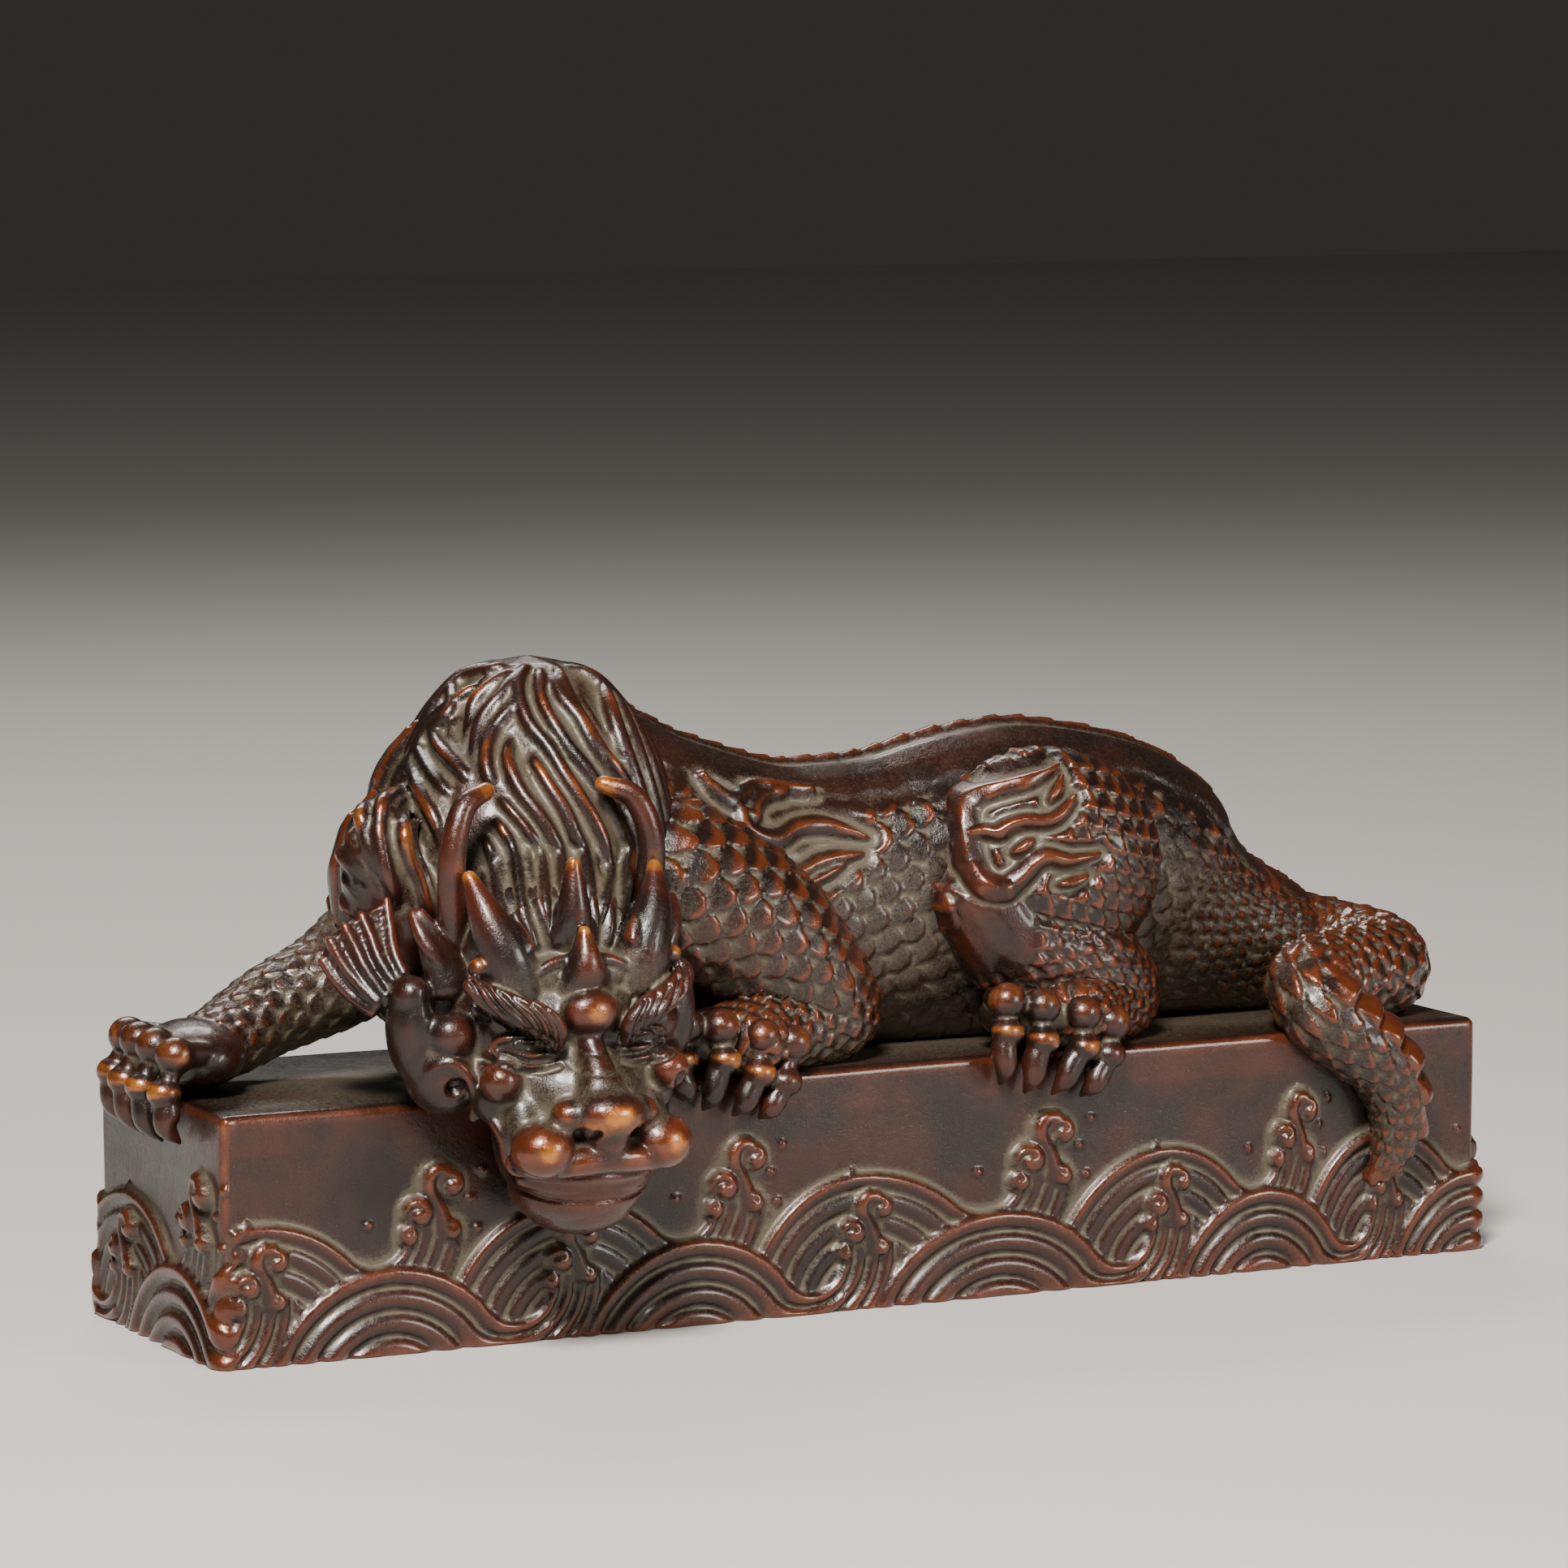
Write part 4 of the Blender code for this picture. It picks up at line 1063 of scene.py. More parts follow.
HIND_TOES = (
    ((119.9, 1.2, 8.1), (119.5, 2.6, 3.9), (118.7, 2.8, 1.5), (118.9, 1.2, -4.6)),
    ((125.3, 1.8, 7.1), (124.8, 3.4, 2.4), (123.6, 3.4, 0.0), (122.6, 1.4, -6.0)),
    ((132.0, 1.8, 5.6), (131.6, 3.2, 0.9), (129.6, 3.2, -1.2), (126.9, 1.4, -6.4)),
    ((137.0, 1.2, 3.9), (136.2, 2.4, -0.6), (134.4, 2.6, -3.0), (131.8, 1.2, -6.9)),
)
FORE_TOES = (
    ((69.1, 0.6, 8.0), (68.2, 1.8, 3.4), (67.6, 2.0, 1.4), (70.1, 1.0, -3.4)),
    ((74.2, 1.6, 7.6), (74.2, 3.2, 3.1), (72.8, 3.2, 0.6), (71.4, 1.4, -4.6)),
    ((80.6, 1.8, 5.8), (79.6, 3.4, 0.9), (78.0, 3.2, -1.4), (76.0, 1.4, -5.6)),
    ((85.6, 1.2, 4.5), (84.0, 2.6, -0.8), (82.4, 2.6, -2.8), (80.2, 1.2, -6.2)),
)
FAR_TOES = (
    ((30.6, 1.2, 7.2), (31.4, 3.4, 2.2), (31.6, 3.4, 0.2), (30.4, 1.4, -5.8)),
    ((24.8, 1.8, 7.4), (25.2, 4.2, 2.0), (25.0, 4.0, -0.2), (23.6, 1.6, -6.2)),
    ((18.8, 1.8, 7.4), (18.6, 4.2, 2.0), (18.2, 4.0, -0.4), (17.0, 1.6, -6.2)),
    ((13.0, 1.2, 6.8), (12.4, 3.4, 1.8), (12.0, 3.2, -0.6), (11.2, 1.4, -5.6)),
)


def paw(clay, toes, put, palm):
    """Knuckled toes with long claws. put turns (along, out, up) into a drawn point."""
    middle_along, middle_up = palm
    for knuckle, joint, claw_top, claw_tip in toes:
        a, out, up = knuckle
        toward = middle_along + (a - middle_along) * 0.80
        root = put(toward, out - 6.5, up - 0.6)
        clay.tube([(*root, 1.8, 1.8), (*put(a, out - 1.2, up), 2.0, 2.0)], 14, 3)
        clay.egg(put(a, out + 0.3, up), (2.85, 2.8, 2.7))
        between = [(k + j) / 2 for k, j in zip(knuckle, joint)]
        clay.tube([(*put(*knuckle), 1.7, 1.7), (*put(*between), 1.45, 1.45),
                   (*put(*joint), 1.7, 1.7)], 14, 3)
        clay.egg(put(*joint), (2.5, 2.4, 2.1))
        tip = [t + (e - t) * 0.86 for t, e in zip(claw_top, claw_tip)]
        bend = [(t + e) / 2 for t, e in zip(claw_top, tip)]
        bend[1] += 1.0
        clay.tube([(*put(*joint), 1.5, 1.5), (*put(*claw_top), 1.95, 1.95), (*put(*bend), 1.6, 1.65),
                   (*put(*tip), 0.40, 0.40)], 14, 6)
    wide, deep = 9.6, 6.4
    radii = (deep + 0.6, wide, 4.9) if put is far_edge else (wide, deep, 4.4)
    clay.egg(put(middle_along, -4.4, middle_up + 0.1), radii)


def near_edge(along, out, up):
    return (along, -out, up)


def rear_edge(along, out, up):
    return (along, MIRROR_Y + out, up)


def far_edge(along, out, up):
    return (-out, along, up)


def make_paws():
    """Four paws gripping the plinth's edges, knuckles and claws rubbed bright."""
    sizes = bpy.context.scene.beast_sizes
    clay = Clay()
    paw(clay, HIND_TOES, near_edge, (128.5, 5.0))
    paw(clay, HIND_TOES, rear_edge, (128.5, 5.0))
    paw(clay, FORE_TOES, near_edge, (77.5, 5.0))
    paw(clay, FAR_TOES, far_edge, (21.5, 5.4))
    skin = Skin(clay.fused("paws", sizes.fine_step, 3))
    stand = skin.standing_out(70)
    bulge = ranked(stand, 66, 95)
    high = eased(skin.points[:, 2], -2.5, 2)
    weather(skin, gold=0.72 * bulge * high, red=0.30 + 0.4 * bulge, fine=5, broad=30, reach=0.40,
            ground=0.75 * (1 - ranked(stand, 6, 34)), crest=0.68 * bulge * high)
    return finished(skin, "paws")


# Neck and mane. Locks are drawn as seen from the camera: right and up of SIGHT_CENTRE.

SIGHT_CENTRE = (50.0, 10.0, 30.0)
LOCKS = (
    ((-4.5, 27.4), (-9.4, 25.4), (-11.7, 23.6), (-13.8, 21.0), (-14.6, 17.9), (-13.8, 14.5),
     (-12.0, 11.6), (-9.9, 9.6)),
    ((-7.6, 24.4), (-10.4, 22.0), (-12.0, 20.5), (-12.1, 17.6), (-10.9, 15.3), (-8.9, 13.2), (-7.3, 11.4)),
    ((-2.2, 26.6), (-4.5, 25.1), (-6.8, 22.8), (-7.7, 20.2), (-8.6, 17.6)),
    ((-1.4, 26.0), (-3.4, 23.6), (-5.0, 21.8), (-6.3, 19.2), (-7.0, 16.6), (-7.6, 13.5)),
    ((-0.9, 23.4), (-2.6, 21.2), (-4.2, 19.2), (-5.2, 16.8), (-5.5, 14.2), (-5.0, 12.2), (-3.6, 9.6)),
    ((-2.1, 19.2), (-2.6, 16.0), (-2.4, 13.5), (-0.8, 10.3), (1.3, 7.5), (3.1, 4.6), (4.4, 1.5),
     (5.2, -2.5), (5.4, -6.5)),
    ((0.5, 16.6), (1.3, 14.0), (3.1, 10.9), (5.1, 7.7), (6.4, 4.6), (7.6, 1.8), (8.6, -3.4), (8.8, -7.8)),
    ((-0.4, 27.2), (-1.1, 24.9), (-0.6, 21.8), (0.7, 19.2), (2.8, 16.6), (4.9, 12.9), (7.0, 9.6), (9.0, 6.4),
     (10.3, 3.3), (10.8, -0.8), (10.6, -5.0), (10.1, -9.0)),
    ((1.8, 26.4), (2.0, 23.1), (3.6, 19.9), (5.7, 16.6), (8.0, 13.5), (9.6, 10.9), (11.1, 8.3),
     (12.7, 5.2), (13.7, 1.8), (13.4, -4.4), (12.4, -8.4)),
    ((3.6, 25.6), (4.9, 23.1), (7.0, 20.5), (8.8, 17.1), (10.6, 14.0), (12.0, 11.6)),
    ((4.4, 26.6), (5.9, 22.9), (8.0, 19.4), (10.1, 16.0), (12.4, 13.0), (15.5, 8.0), (17.5, 3.0)),
    ((-15.6, 20.0), (-15.6, 15.5), (-14.9, 11.9), (-13.6, 8.8), (-12.4, 5.9), (-12.0, 2.0)),
    ((-5.7, 8.3), (-3.4, 5.4), (-1.9, 2.3), (-1.1, -1.9), (-0.4, -6.6), (0.4, -10.6)),
    ((-7.0, 5.7), (-5.2, 2.8), (-4.2, -0.6), (-3.4, -6.4), (-2.4, -11.0)),
    ((11.0, 11.3), (12.4, 9.0), (13.8, 6.2), (15.0, 3.1), (15.8, -0.5)),
    ((-4.9, 10.9), (-2.8, 8.6), (0.0, 5.2), (2.0, 1.4), (2.6, -5.2), (3.2, -9.6)),
    ((-18.9, 13.8), (-20.4, 12.4), (-21.8, 10.5), (-22.4, 7.7), (-22.0, 4.3), (-21.1, 0.8), (-20.0, -2.9)),
    ((-16.9, 14.4), (-18.1, 11.7), (-19.7, 9.1), (-20.4, 5.9), (-20.2, 3.1), (-19.5, -0.3), (-18.6, -2.9),
     (-17.8, -6.0)),
    ((-16.2, 11.0), (-16.9, 8.4), (-17.4, 5.4), (-16.9, 1.8), (-15.6, -1.5), (-14.2, -4.9), (-12.4, -8.4)),
    ((-22.2, 6.4), (-24.0, 8.3), (-26.4, 8.8), (-28.4, 8.0), (-29.4, 6.6), (-29.2, 4.8)),
    ((-29.0, 6.4), (-28.4, 5.2), (-27.1, 4.0), (-25.0, 1.9), (-23.2, -0.6), (-21.4, -3.4)),
    ((-29.5, 2.9), (-28.6, 0.4), (-26.8, -2.4), (-24.9, -5.1), (-23.2, -7.6)),
    ((-29.4, -0.8), (-29.0, -3.0), (-27.3, -5.8), (-25.7, -8.4), (-24.2, -11.0)),
    ((-23.9, 7.0), (-24.0, 3.8), (-23.0, 0.4), (-21.4, -3.6)),
)
THIN_LOCKS = (12, 13, 15)
HUMP_ROOTS = 22
END_SINK = 1.3
HIDDEN_TURNS = (-150, -132, -115, -98, -82, 112, 130, 148, 166)
TUFT_FORM = (((27.5, 9.0, 31.4), (5.4, 7, 10)), ((30.5, 9.0, 24.5), (6, 7, 9.5)))


def sight_line(route_point):
    """From the camera through a point drawn as seen from it: where it starts and its direction."""
    sizes = bpy.context.scene.beast_sizes
    yaw, pitch = math.radians(sizes.camera_yaw), math.radians(sizes.camera_pitch)
    ahead = np.array([math.sin(yaw) * math.cos(pitch), math.cos(yaw) * math.cos(pitch), -math.sin(pitch)])
    right = np.array([math.cos(yaw), -math.sin(yaw), 0.0])
    up = np.cross(right, ahead)
    start = as_drawn(np.array(sizes.camera_place))
    target = np.array(SIGHT_CENTRE) + right * route_point[0] + up * route_point[1]
    way = target - start
    return start, way / np.linalg.norm(way), target


def drawn_out(first, second):
    """A point a little before the first one, so that a lock starts nearer the top of the hump."""
    return tuple(1.65 * a - 0.65 * b for a, b in zip(first, second))


def shifted(route, gap):
    """The same line moved sideways."""
    line = np.array(route, float)
    way = np.gradient(line, axis=0)
    way /= np.linalg.norm(way, axis=1)[:, None]
    return line + gap * np.column_stack([-way[:, 1], way[:, 0]])


def laid_on(carrier, route, lift):
    """A line drawn as seen from the camera, laid on a surface and lifted off it a little."""
    spots = []
    for point in route:
        start, way, target = sight_line(point)
        spot, normal, _, _ = carrier.ray_cast(Vector(start), Vector(way))
        if spot is None or normal.dot(Vector(way)) > -0.12:
            spot, normal, _, _ = carrier.find_nearest(Vector(target) if spot is None else spot)
        spots.append((np.array(spot), np.array(normal)))
    last = len(spots) - 1
    laid = []
    for i, (spot, normal) in enumerate(spots):
        rise = lift * min(1.0, 0.6 * i)
        if i == 0:
            rise -= END_SINK
        rise -= END_SINK * max(0.0, 1.6 - (last - i)) / 1.6
        laid.append(spot + normal * rise)
    return np.array(laid)


def add_lock(clay, spots, radius, sides=14):
    """One lock: a strand that swells from its root and thins out at its foot."""
    last = len(spots) - 1
    rows = []
    for i, spot in enumerate(spots):
        t = i / last
        swell = radius * (0.42 + 0.58 * math.sin(math.pi * min(1.0, 0.08 + 0.76 * t)) ** 0.6)
        if i == last:
            swell *= 0.55
        rows.append((*spot, swell, swell))
    clay.tube(rows, sides, 5)


def neck_carrier():
    """The neck's plain form, for the locks to lie on."""
    clay = Clay()
    for centre, radii in NECK + TUFT_FORM:
        clay.egg(centre, radii)
    for centre, radii in SKULL[:2]:
        clay.egg(on_head(centre), radii)
    form = clay.fused("neck_form", 0.9, 8)
    tree = BVHTree.FromPolygons([v.co for v in form.data.vertices], [p.vertices for p in form.data.polygons])
    bpy.data.objects.remove(form)
    return tree


def add_hump_locks(clay, carrier, radius):
    """Short locks that fall from the hump's peak to the side that the camera doesn't see."""
    middle = np.array(NECK[0][0])
    for degrees in range(-40, 170, 18):
        spots = []
        for t in np.linspace(0, 1, 7):
            lean, turn = math.radians(9 + 66 * t), math.radians(degrees + 26 * t)
            way = np.array([math.sin(lean) * math.cos(turn), math.sin(lean) * math.sin(turn), math.cos(lean)])
            spot, _, _, _ = carrier.ray_cast(Vector(middle), Vector(way))
            spots.append(np.array(spot) + way * (0.3 - 1.2 * (t == 0)))
        add_lock(clay, spots, radius)


def make_mane():
    """The arched neck and its mane of long locks, combed from the hump to the crown."""
    sizes = bpy.context.scene.beast_sizes
    carrier = neck_carrier()
    clay = Clay()
    for centre, radii in NECK + TUFT_FORM:
        clay.egg(centre, radii)
    for k, route in enumerate(LOCKS):
        if route[0][1] > HUMP_ROOTS:
            route = (drawn_out(*route[:2]), *route)
        thin = 0.72 if k in THIN_LOCKS else 1.0
        add_lock(clay, laid_on(carrier, route, 0.60), sizes.lock_radius * thin)
        for shift in (-1.75, 1.75):
            beside = shifted(route, shift)
            add_lock(clay, laid_on(carrier, beside[1:], 0.0), sizes.lock_radius * 0.52, 10)
    top, foot = (Vector(p) for p in MANE_AXIS)
    down = (foot - top).normalized()
    front = (Vector((0, 0, 1)) - down * down.z).normalized()
    side = down.cross(front)
    for k, degrees in enumerate(HIDDEN_TURNS):
        turn = math.radians(degrees)
        spots = []
        for t in np.linspace(-0.1, 0.95 - 0.06 * (k % 3), 8):
            angle = turn * (0.45 + 0.55 * min(1.0, max(0.0, t) * 1.3)) + 0.14 * math.sin(7 * t)
            way = front * math.cos(angle) + side * math.sin(angle)
            spot, _, _, _ = carrier.ray_cast(top + (foot - top) * t, way)
            if spot is not None:
                spots.append(np.array(spot) + np.array(way) * 0.75)
        if len(spots) > 3:
            add_lock(clay, spots, sizes.lock_radius * 1.3)
    add_hump_locks(clay, carrier, sizes.lock_radius * 1.25)
    skin = Skin(clay.fused("mane", sizes.limb_step * 0.95, 2))
    strand = skin.standing_out(60)
    x, y, z = skin.points.T
    patchy = 0.5 + 0.5 * np.sin(0.45 * x + 0.30 * y + 0.38 * z)
    crown = (1 - eased(np.abs(x - HEAD_AT[0]), 11, 14)) * (1 - eased(y, 3, 7)) * (1 - eased(z, 26, 38))
    weather(skin, gold=0.40 * patchy, red=0.25, ground=0.10 + 0.25 * crown, fine=4, broad=25, reach=0.34,
            crest=(0.30 + 0.60 * patchy) * eased(strand, 0.22, 0.62) - 0.9 * crown,
            valley=(0.34 + 0.26 * patchy) * eased(-strand, -0.18, 0.14))
    return finished(skin, "mane")


# The head. Strokes on the face are drawn as (a, c) and mirrored.

FACE_GROOVES = (
    (((0, -15.5), (4, -15.8), (8, -15.6), (11, -15.0), (13.0, -14.0)), 0.45, -0.7),
    (((3.0, -9.4), (3.8, -9.6), (4.4, -9.2)), 1.0, -1.3),
    (((0, -19.3), (4, -19.3), (7.5, -18.8), (10.0, -17.6)), 0.45, -0.45),
    (((5.0, 0.2), (7.0, -0.1), (9.2, 0.1), (12.0, 1.2)), 0.50, -0.75),
    (((4.6, -0.8), (7.4, -1.6), (10.0, -1.4), (13.0, -0.2)), 0.5, -0.5),
    (((6.2, 2.6), (8.4, 3.2), (10.6, 2.8)), 0.45, -0.6),
    (((0, -1.6), (2.2, -1.4), (3.6, -0.6)), 0.6, -0.12),
    (((0, 0.8), (1.6, 1.2), (3.0, 2.2)), 0.6, -0.15),
    (((16.4, 11.4), (15.6, 8.2), (13.0, 5.4)), 0.5, -0.7),
    (((15.2, 11.2), (13.8, 7.8), (10.4, 4.4)), 0.5, -0.7),
    (((13.6, 10.2), (11.6, 7.2), (8.4, 3.2)), 0.5, -0.7),
    (((11.6, 9.2), (9.4, 6.6), (7.2, 2.2)), 0.5, -0.7),
    (((9.4, 8.3), (7.4, 5.4), (6.2, 1.4)), 0.5, -0.7),
    (((7.4, 7.6), (5.9, 5.0), (5.2, 1.6)), 0.5, -0.6),
    (((3.4, 25.0), (3.9, 20.0), (3.0, 15.4)), 1.3, 0.75),
    (((6.6, 25.0), (6.6, 20.0), (5.6, 15.0)), 1.3, 0.75),
    (((9.4, 25.0), (8.8, 20.0), (7.6, 15.4)), 1.2, 0.65),
)
FAR_SIDE_PRESSED = 3.2
EAR_HOLE = ((17.0, -4.0), 1.6, -1.5)
FIN_RIB_ROUTES = (
    ((-19.5, -4.5, 3.0), (-19.0, -8.4, 1.0), (-18.4, -11.9, -1.0), (-17.0, -15.0, -3.0)),
    ((-23.0, -6.6, 2.6), (-21.6, -9.8, 0.8), (-20.4, -13.0, -1.0), (-18.2, -16.4, -3.0)),
    ((-25.3, -8.2, 2.4), (-23.7, -11.4, 0.8), (-22.3, -14.2, -0.8), (-19.8, -17.8, -2.8)),
    ((-27.3, -10.2, 2.6), (-25.5, -13.5, 1.0), (-23.7, -15.8, -0.4), (-20.8, -18.8, -2.6)),
    ((-28.4, -13.0, 3.0), (-26.4, -15.8, 1.4), (-24.4, -17.8, 0.2), (-21.6, -19.8, -2.2)),
)
LEAF_EAR = ((-15.8, -6.2, -2.0), (-14.2, -9.4, -3.6), (-12.2, -12.4, -5.0), (-10.2, -15.0, -6.2))


def sight_point(row):
    """A point drawn as seen from the camera, at a given distance back from the plinth's face."""
    start, way, _ = sight_line(row[:2])
    return start + way * ((row[2] - start[1]) / way[1])


def across_head(spot):
    """The same point on the head's other side."""
    return np.array([2 * HEAD_AT[0] - spot[0], spot[1], spot[2]])


def add_fin(clay, side):
    """The ribbed fin behind the jaw: ribs with a thin web and fine bars between them."""
    ribs = []
    for route in FIN_RIB_ROUTES:
        line = spline([sight_point(row) for row in route], 5)
        if side > 0:
            line = np.array([across_head(p) for p in line])
            line[:, 0] = line[:, 0] - 4.5
            line[:, 1] = line[:, 1] + 3.5
        ribs.append(line)
    for line in ribs:
        size = np.linspace(0.75, 1.0, len(line))
        clay.tube([(*p, s, s) for p, s in zip(line, size)], 10, 2)
    for first, second in zip(ribs, ribs[1:]):
        for t in np.linspace(0.05, 0.92, 8):
            i = t * (len(first) - 1)
            low, share = int(i), i - int(i)
            one = first[low] + (first[min(low + 1, len(first) - 1)] - first[low]) * share
            two = second[low] + (second[min(low + 1, len(second) - 1)] - second[low]) * share
            middle = (one + two) / 2 + (0, 0.1, 0)
            clay.tube([(*one, 0.38, 0.5), (*middle, 0.38, 0.5), (*two, 0.38, 0.5)], 8, 2)
        thick = 0.45
        web = []
        for shift in (-thick, thick):
            for line in (first, second):
                web.append(line + np.array([0, shift + 1.0, 0]))
        rows = len(first)
        points = np.vstack(web)
        faces = []
        a, b, c, d = 0, rows, 2 * rows, 3 * rows
        for i in range(rows - 1):
            faces += [(a + i, a + i + 1, b + i + 1, b + i), (c + i, d + i, d + i + 1, c + i + 1),
                      (a + i, c + i, c + i + 1, a + i + 1), (b + i, b + i + 1, d + i + 1, d + i)]
        faces += [(a, b, d, c), (a + rows - 1, c + rows - 1, d + rows - 1, b + rows - 1)]
        clay.add(points, faces)


def face_form():
    """Skull, muzzle, cheeks and jaw lobes melted into one another."""
    clay = Clay()
    for centre, radii in SKULL + FACE_MIDDLE:
        clay.egg(on_head(centre), radii)
    for (a, b, c), radii in FACE_SIDES:
        pressed = FAR_SIDE_PRESSED if a > 16 else 0
        clay.egg(on_head((a, b, c), -1), radii)
        clay.egg(on_head((a - pressed, b, c), 1), radii)
    clay.tube([on_head(row) for row in BRIDGE], 20)
    form = clay.fused("face_form", 0.45, 9)
    points = [tuple(v.co) for v in form.data.vertices]
    faces = [tuple(p.vertices) for p in form.data.polygons]
    bpy.data.objects.remove(form)
    return points, faces


def add_face_side(clay, side):
    """One side of the face: brow, lids, nose wing, lips, folds, horn, feeler, ear, whorl and fin."""
    for rows in (BROW, LIP, LOWER_LIP, FEELER, EAR, CROWN_FOLD, JAW_FOLD):
        clay.head_tube(rows, side, 16)
    clay.head_tube(BIG_HORN, side, 20)
    for drop, radius in ((3.1, 0.55), (0.7, 0.5), (-0.6, 0.5)):
        rows = [(5.4, 8.4, drop * 0.4 + 0.8, 0.3, 0.3), (7.2, 9.0, drop * 0.9, radius, radius),
                (9.6, 8.7, drop, radius, radius), (11.8, 7.6, drop * 0.8 + 0.5, radius, radius),
                (13.4, 6.4, 1.9, 0.3, 0.3)]
        clay.head_tube(rows, side, 10)
    wing = [(3.4, 16.2, -7.4, 1.3, 1.3), (4.8, 15.6, -6.5, 1.7, 1.6), (6.0, 14.6, -7.0, 1.6, 1.5),
            (6.2, 14.0, -8.4, 0.9, 0.9)]
    clay.head_tube(wing, side, 12)
    pressed = FAR_SIDE_PRESSED if side > 0 else 0
    whorl = [(20.4, 0.4, -3.6, 0.6, 0.6), (19.6, 1.8, -1.4, 0.9, 0.9), (17.4, 2.8, -0.6, 1.1, 1.1),
             (15.2, 3.6, -2.6, 1.0, 1.0), (14.2, 4.0, -5.4, 0.9, 0.9), (14.4, 3.4, -8.2, 0.7, 0.7)]
    clay.head_tube([(row[0] - pressed, *row[1:]) for row in whorl], side, 12)
    add_fin(clay, side)


def make_head():
    """The low-slung head: horns, feelers, heavy brows, half-closed eyes, broad nose and jaws."""
    sizes = bpy.context.scene.beast_sizes
    clay = Clay()
    clay.add(*face_form())
    for rows in (MIDDLE_HORN, FRONT_HORN):
        clay.tube([on_head(row) for row in rows], 20)
    for side in (-1, 1):
        add_face_side(clay, side)
    leaf = spline([sight_point(row) for row in LEAF_EAR], 5)
    swell = 0.5 + 1.5 * np.sin(np.linspace(0.25, 2.9, len(leaf)))
    clay.tube([(*p, s, s * 0.7) for p, s in zip(leaf, swell)], 14, 2)
    clay.tube([(*across_head(p), s, s * 0.7) for p, s in zip(leaf, swell)], 14, 2)
    skin = Skin(clay.fused("head", sizes.fine_step, 3))
    x, y, z = skin.points.T
    a, b, c = np.abs(x - HEAD_AT[0]), HEAD_AT[1] - y, z - HEAD_AT[2]
    front = eased(-skin.normals[:, 1], 0.0, 0.35) * (b > 2)
    carved = np.zeros(skin.count)
    for route, width, depth in FACE_GROOVES:
        middle = nearness(a, c, route, [width] * len(route))
        carved += depth * eased(middle, 0, 0.9) * front
    (hole_a, hole_c), hole_reach, hole_depth = EAR_HOLE
    lobed = a + FAR_SIDE_PRESSED * (x > HEAD_AT[0])
    hole = 1 - eased(np.hypot(lobed - hole_a, c - hole_c), hole_reach * 0.35, hole_reach)
    carved += hole_depth * hole * eased(-skin.normals[:, 1], 0.0, 0.35)
    skin.push(carved)
    wide = skin.standing_out(60)
    bulge = ranked(wide, 55, 92)
    drawn = np.column_stack([a, b, c])
    horned = np.zeros(skin.count)
    for rows in (BIG_HORN, MIDDLE_HORN, FRONT_HORN, FEELER, EAR):
        along, _, gap = follow(drawn, rows)
        line = spline(rows, 12)
        run = np.concatenate([[0], np.cumsum(np.linalg.norm(np.diff(line[:, :3], axis=0), axis=1))])
        ratio = gap / np.interp(along, run, line[:, 3])
        outer_part = eased(along, 0.2 * run[-1], 0.5 * run[-1])
        horned = np.maximum(horned, (1 - eased(ratio, 1.05, 1.35)) * outer_part)
    snout = eased(b, 10, 17) * eased(-c, 4, 9)
    tips = np.zeros(skin.count)
    for (tip_a, tip_b, tip_c), reach in GOLDEN_TIPS:
        away = np.sqrt((a - tip_a) ** 2 + (b - tip_b) ** 2 + (c - tip_c) ** 2)
        tips = np.maximum(tips, 1 - eased(away, 0.25 * reach, reach))
    nose = eased(-c, 3, 6) * (1 - eased(-c, 7.5, 9.5)) * (1 - eased(a, 4, 6))
    brow = eased(nearness(a, c, ((16, 10.4), (11, 7.2), (6, 4.0)), (4, 4, 4)), 0, 0.35) * eased(b, 5, 8)
    gold = np.clip(0.12 + snout * (0.30 + 0.50 * nose) * eased(wide, 0.10, 0.55) + 0.70 * tips, 0, 1)
    forehead = eased(c, 3, 7) * (1 - eased(c, 20, 24)) * eased(b, 0, 6) * (1 - eased(a, 11, 14))
    flat = 1 - eased(wide, 0.05, 0.35)
    crown = eased(c, 9, 13) * (1 - eased(a, 9, 12))
    cheeks = eased(b, 6, 9) * eased(-c, -3, 1) * (1 - eased(-c, 8, 11))
    jaw = eased(-c, 14.8, 16.0)
    fin = eased(a, 23.5, 25.5)
    dusty = flat * (0.14 + 0.30 * forehead + 0.38 * cheeks + 0.18 * crown) * (1 - jaw) * (1 - fin)
    rub = 0.42 * snout * bulge * eased(c, -17, -15.5) + 0.50 * tips
    rub = rub + 0.20 * bulge * eased(b, 3, 8) + 0.15 * bulge
    dusty *= (1 - hole) * (1 - horned)
    red = np.clip(0.25 + 0.75 * bulge + 0.55 * jaw + 0.45 * snout, 0, 1)
    crest = rub - 0.40 * brow + 0.16 * jaw + 0.30 * snout
    valley = -1.2 * hole - 0.6 * horned - 0.8 * jaw - 0.45 * fin
    weather(skin, gold=gold, red=red, ground=dusty, fine=5, broad=45, reach=0.42, crest=crest, valley=valley)
    return finished(skin, "head")


# The stage: camera, pale floor and soft light.

def aimed(obj, target):
    """Turn a light towards a point."""
    way = Vector(target) - obj.location
    obj.rotation_euler = way.to_track_quat("-Z", "Y").to_euler()


def add_softbox(name, place, size, watts, target=(0, 0, 0.04)):
    bpy.ops.object.light_add(type="AREA", location=place)
    obj = bpy.context.active_object
    obj.name = name
    obj.data.shape = "RECTANGLE"
    obj.data.size, obj.data.size_y = size
    obj.data.energy = watts
    obj.data.color = (1.0, 0.955, 0.90)
    aimed(obj, target)


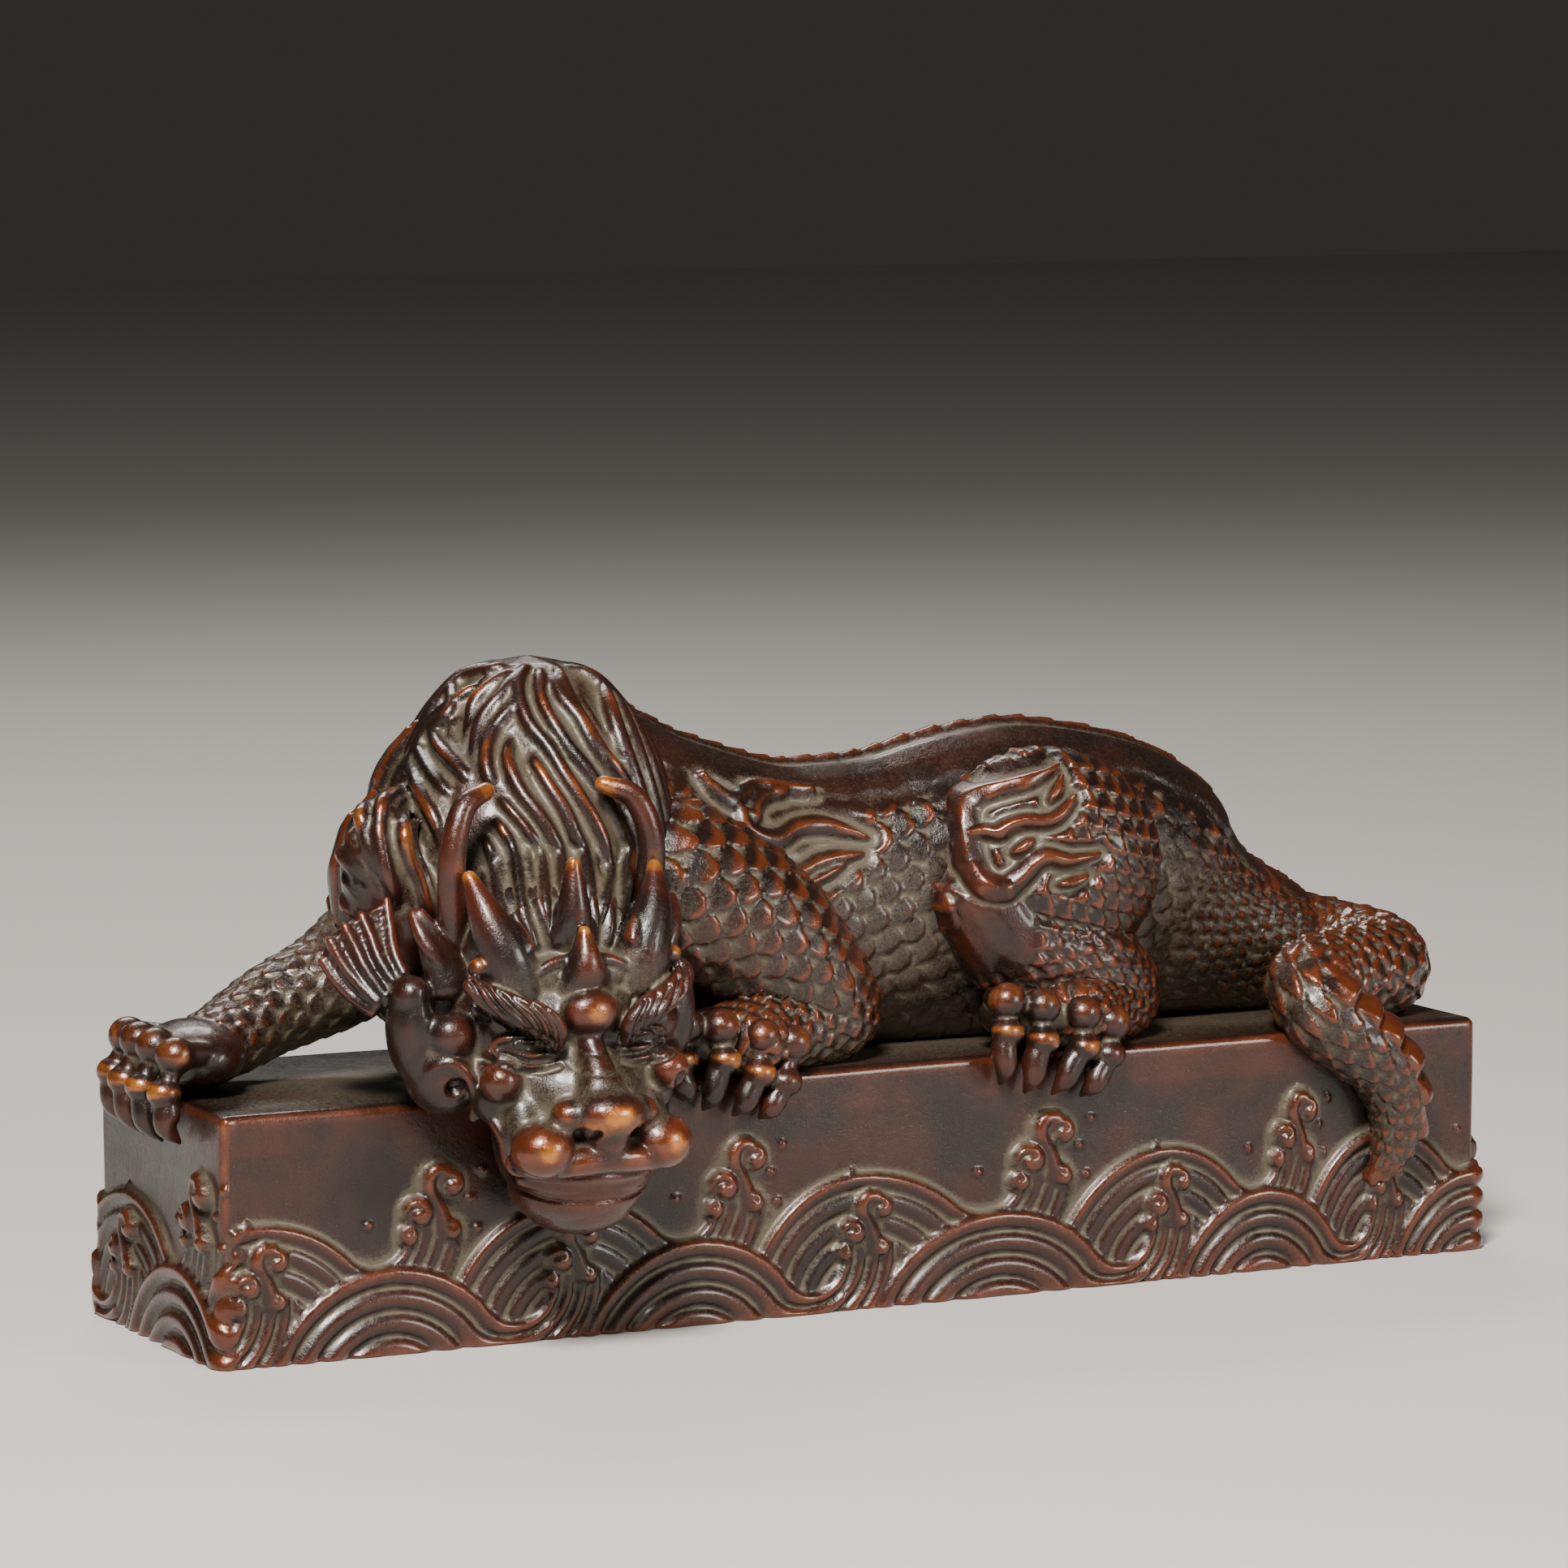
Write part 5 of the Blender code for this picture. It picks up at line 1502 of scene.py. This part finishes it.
def set_stage():
    sizes = bpy.context.scene.beast_sizes
    scene = bpy.context.scene
    yaw, pitch = math.radians(sizes.camera_yaw), math.radians(sizes.camera_pitch)
    ahead = Vector((math.sin(yaw) * math.cos(pitch), math.cos(yaw) * math.cos(pitch), -math.sin(pitch)))
    bpy.ops.object.camera_add(location=sizes.camera_place, rotation=ahead.to_track_quat("-Z", "Y").to_euler())
    camera = bpy.context.active_object
    camera.data.lens = sizes.camera_lens
    camera.data.sensor_width = 36
    camera.data.clip_start = 0.05
    scene.camera = camera
    bpy.ops.mesh.primitive_plane_add(size=6, location=(0, 0, 0))
    floor = bpy.context.active_object
    floor.name = "floor"
    plain = bpy.data.materials.new("plain_floor")
    plain.use_nodes = True
    shader = plain.node_tree.nodes["Principled BSDF"]
    shader.inputs["Base Color"].default_value = (0.50, 0.485, 0.465, 1)
    shader.inputs["Roughness"].default_value = 0.8
    floor.data.materials.append(plain)
    add_softbox("key_light", (-0.40, -0.58, 0.78), (0.20, 0.28), 26.0)
    add_softbox("top_light", (0.10, 0.70, 0.75), (0.50, 0.20), 4.5)
    add_softbox("side_light", (0.55, -0.85, 0.34), (0.24, 0.30), 5.0)
    world = bpy.data.worlds.new("soft_room")
    world.use_nodes = True
    world.node_tree.nodes["Background"].inputs[0].default_value = (0.90, 0.87, 0.83, 1)
    world.node_tree.nodes["Background"].inputs[1].default_value = 0.035
    scene.world = world


# Operators and the sidebar.

def run(operator, work):
    """Do an operator's work with nothing else selected."""
    if bpy.context.mode != "OBJECT":
        bpy.ops.object.mode_set(mode="OBJECT")
    bpy.ops.object.select_all(action="DESELECT")
    work()
    return {"FINISHED"}


class MakePlinth(bpy.types.Operator):
    """Carve the plinth with its two rows of waves"""
    bl_idname = "beast.make_plinth"
    bl_label = "Make Plinth"

    def execute(self, context):
        return run(self, make_plinth)


class MakeTrunk(bpy.types.Operator):
    """Make the trunk with its spine, scales and flames"""
    bl_idname = "beast.make_trunk"
    bl_label = "Make Trunk"

    def execute(self, context):
        return run(self, make_trunk)


class MakeHaunches(bpy.types.Operator):
    """Make both thighs with their flames, shins and heels"""
    bl_idname = "beast.make_haunches"
    bl_label = "Make Haunches"

    def execute(self, context):
        return run(self, make_haunches)


class MakeForelegsAndTail(bpy.types.Operator):
    """Make both forelegs and the coiled tail"""
    bl_idname = "beast.make_forelegs_and_tail"
    bl_label = "Make Forelegs and Tail"

    def execute(self, context):
        return run(self, make_forelegs_and_tail)


class MakePaws(bpy.types.Operator):
    """Make the four paws with their claws"""
    bl_idname = "beast.make_paws"
    bl_label = "Make Paws"

    def execute(self, context):
        return run(self, make_paws)


class MakeMane(bpy.types.Operator):
    """Make the neck and the locks of the mane"""
    bl_idname = "beast.make_mane"
    bl_label = "Make Mane"

    def execute(self, context):
        return run(self, make_mane)


class MakeHead(bpy.types.Operator):
    """Make the head with horns, feelers, fins and face"""
    bl_idname = "beast.make_head"
    bl_label = "Make Head"

    def execute(self, context):
        return run(self, make_head)


class SetStage(bpy.types.Operator):
    """Add the camera, the pale floor and the soft lights"""
    bl_idname = "beast.set_stage"
    bl_label = "Set Stage"

    def execute(self, context):
        return run(self, set_stage)


OPERATORS = (MakePlinth, MakeTrunk, MakeHaunches, MakeForelegsAndTail, MakePaws, MakeMane, MakeHead,
             SetStage)


class BeastPanel(bpy.types.Panel):
    """The sidebar panel with the sizes and one button per piece"""
    bl_label = "Guardian Beast"
    bl_idname = "VIEW3D_PT_guardian_beast"
    bl_space_type = "VIEW_3D"
    bl_region_type = "UI"
    bl_category = "Guardian Beast"

    def draw(self, context):
        sizes = context.scene.beast_sizes
        for name in sizes.__annotations__:
            self.layout.prop(sizes, name)
        for operator in OPERATORS:
            self.layout.operator(operator.bl_idname)


CLASSES = (BeastSizes, *OPERATORS, BeastPanel)


def register():
    for made in CLASSES:
        bpy.utils.register_class(made)
    bpy.types.Scene.beast_sizes = PointerProperty(type=BeastSizes)


def unregister():
    del bpy.types.Scene.beast_sizes
    for made in reversed(CLASSES):
        bpy.utils.unregister_class(made)


def main():
    register()
    bpy.ops.beast.make_plinth()
    bpy.ops.beast.make_trunk()
    bpy.ops.beast.make_haunches()
    bpy.ops.beast.make_forelegs_and_tail()
    bpy.ops.beast.make_paws()
    bpy.ops.beast.make_mane()
    bpy.ops.beast.make_head()
    bpy.ops.beast.set_stage()


if __name__ == "__main__":
    main()
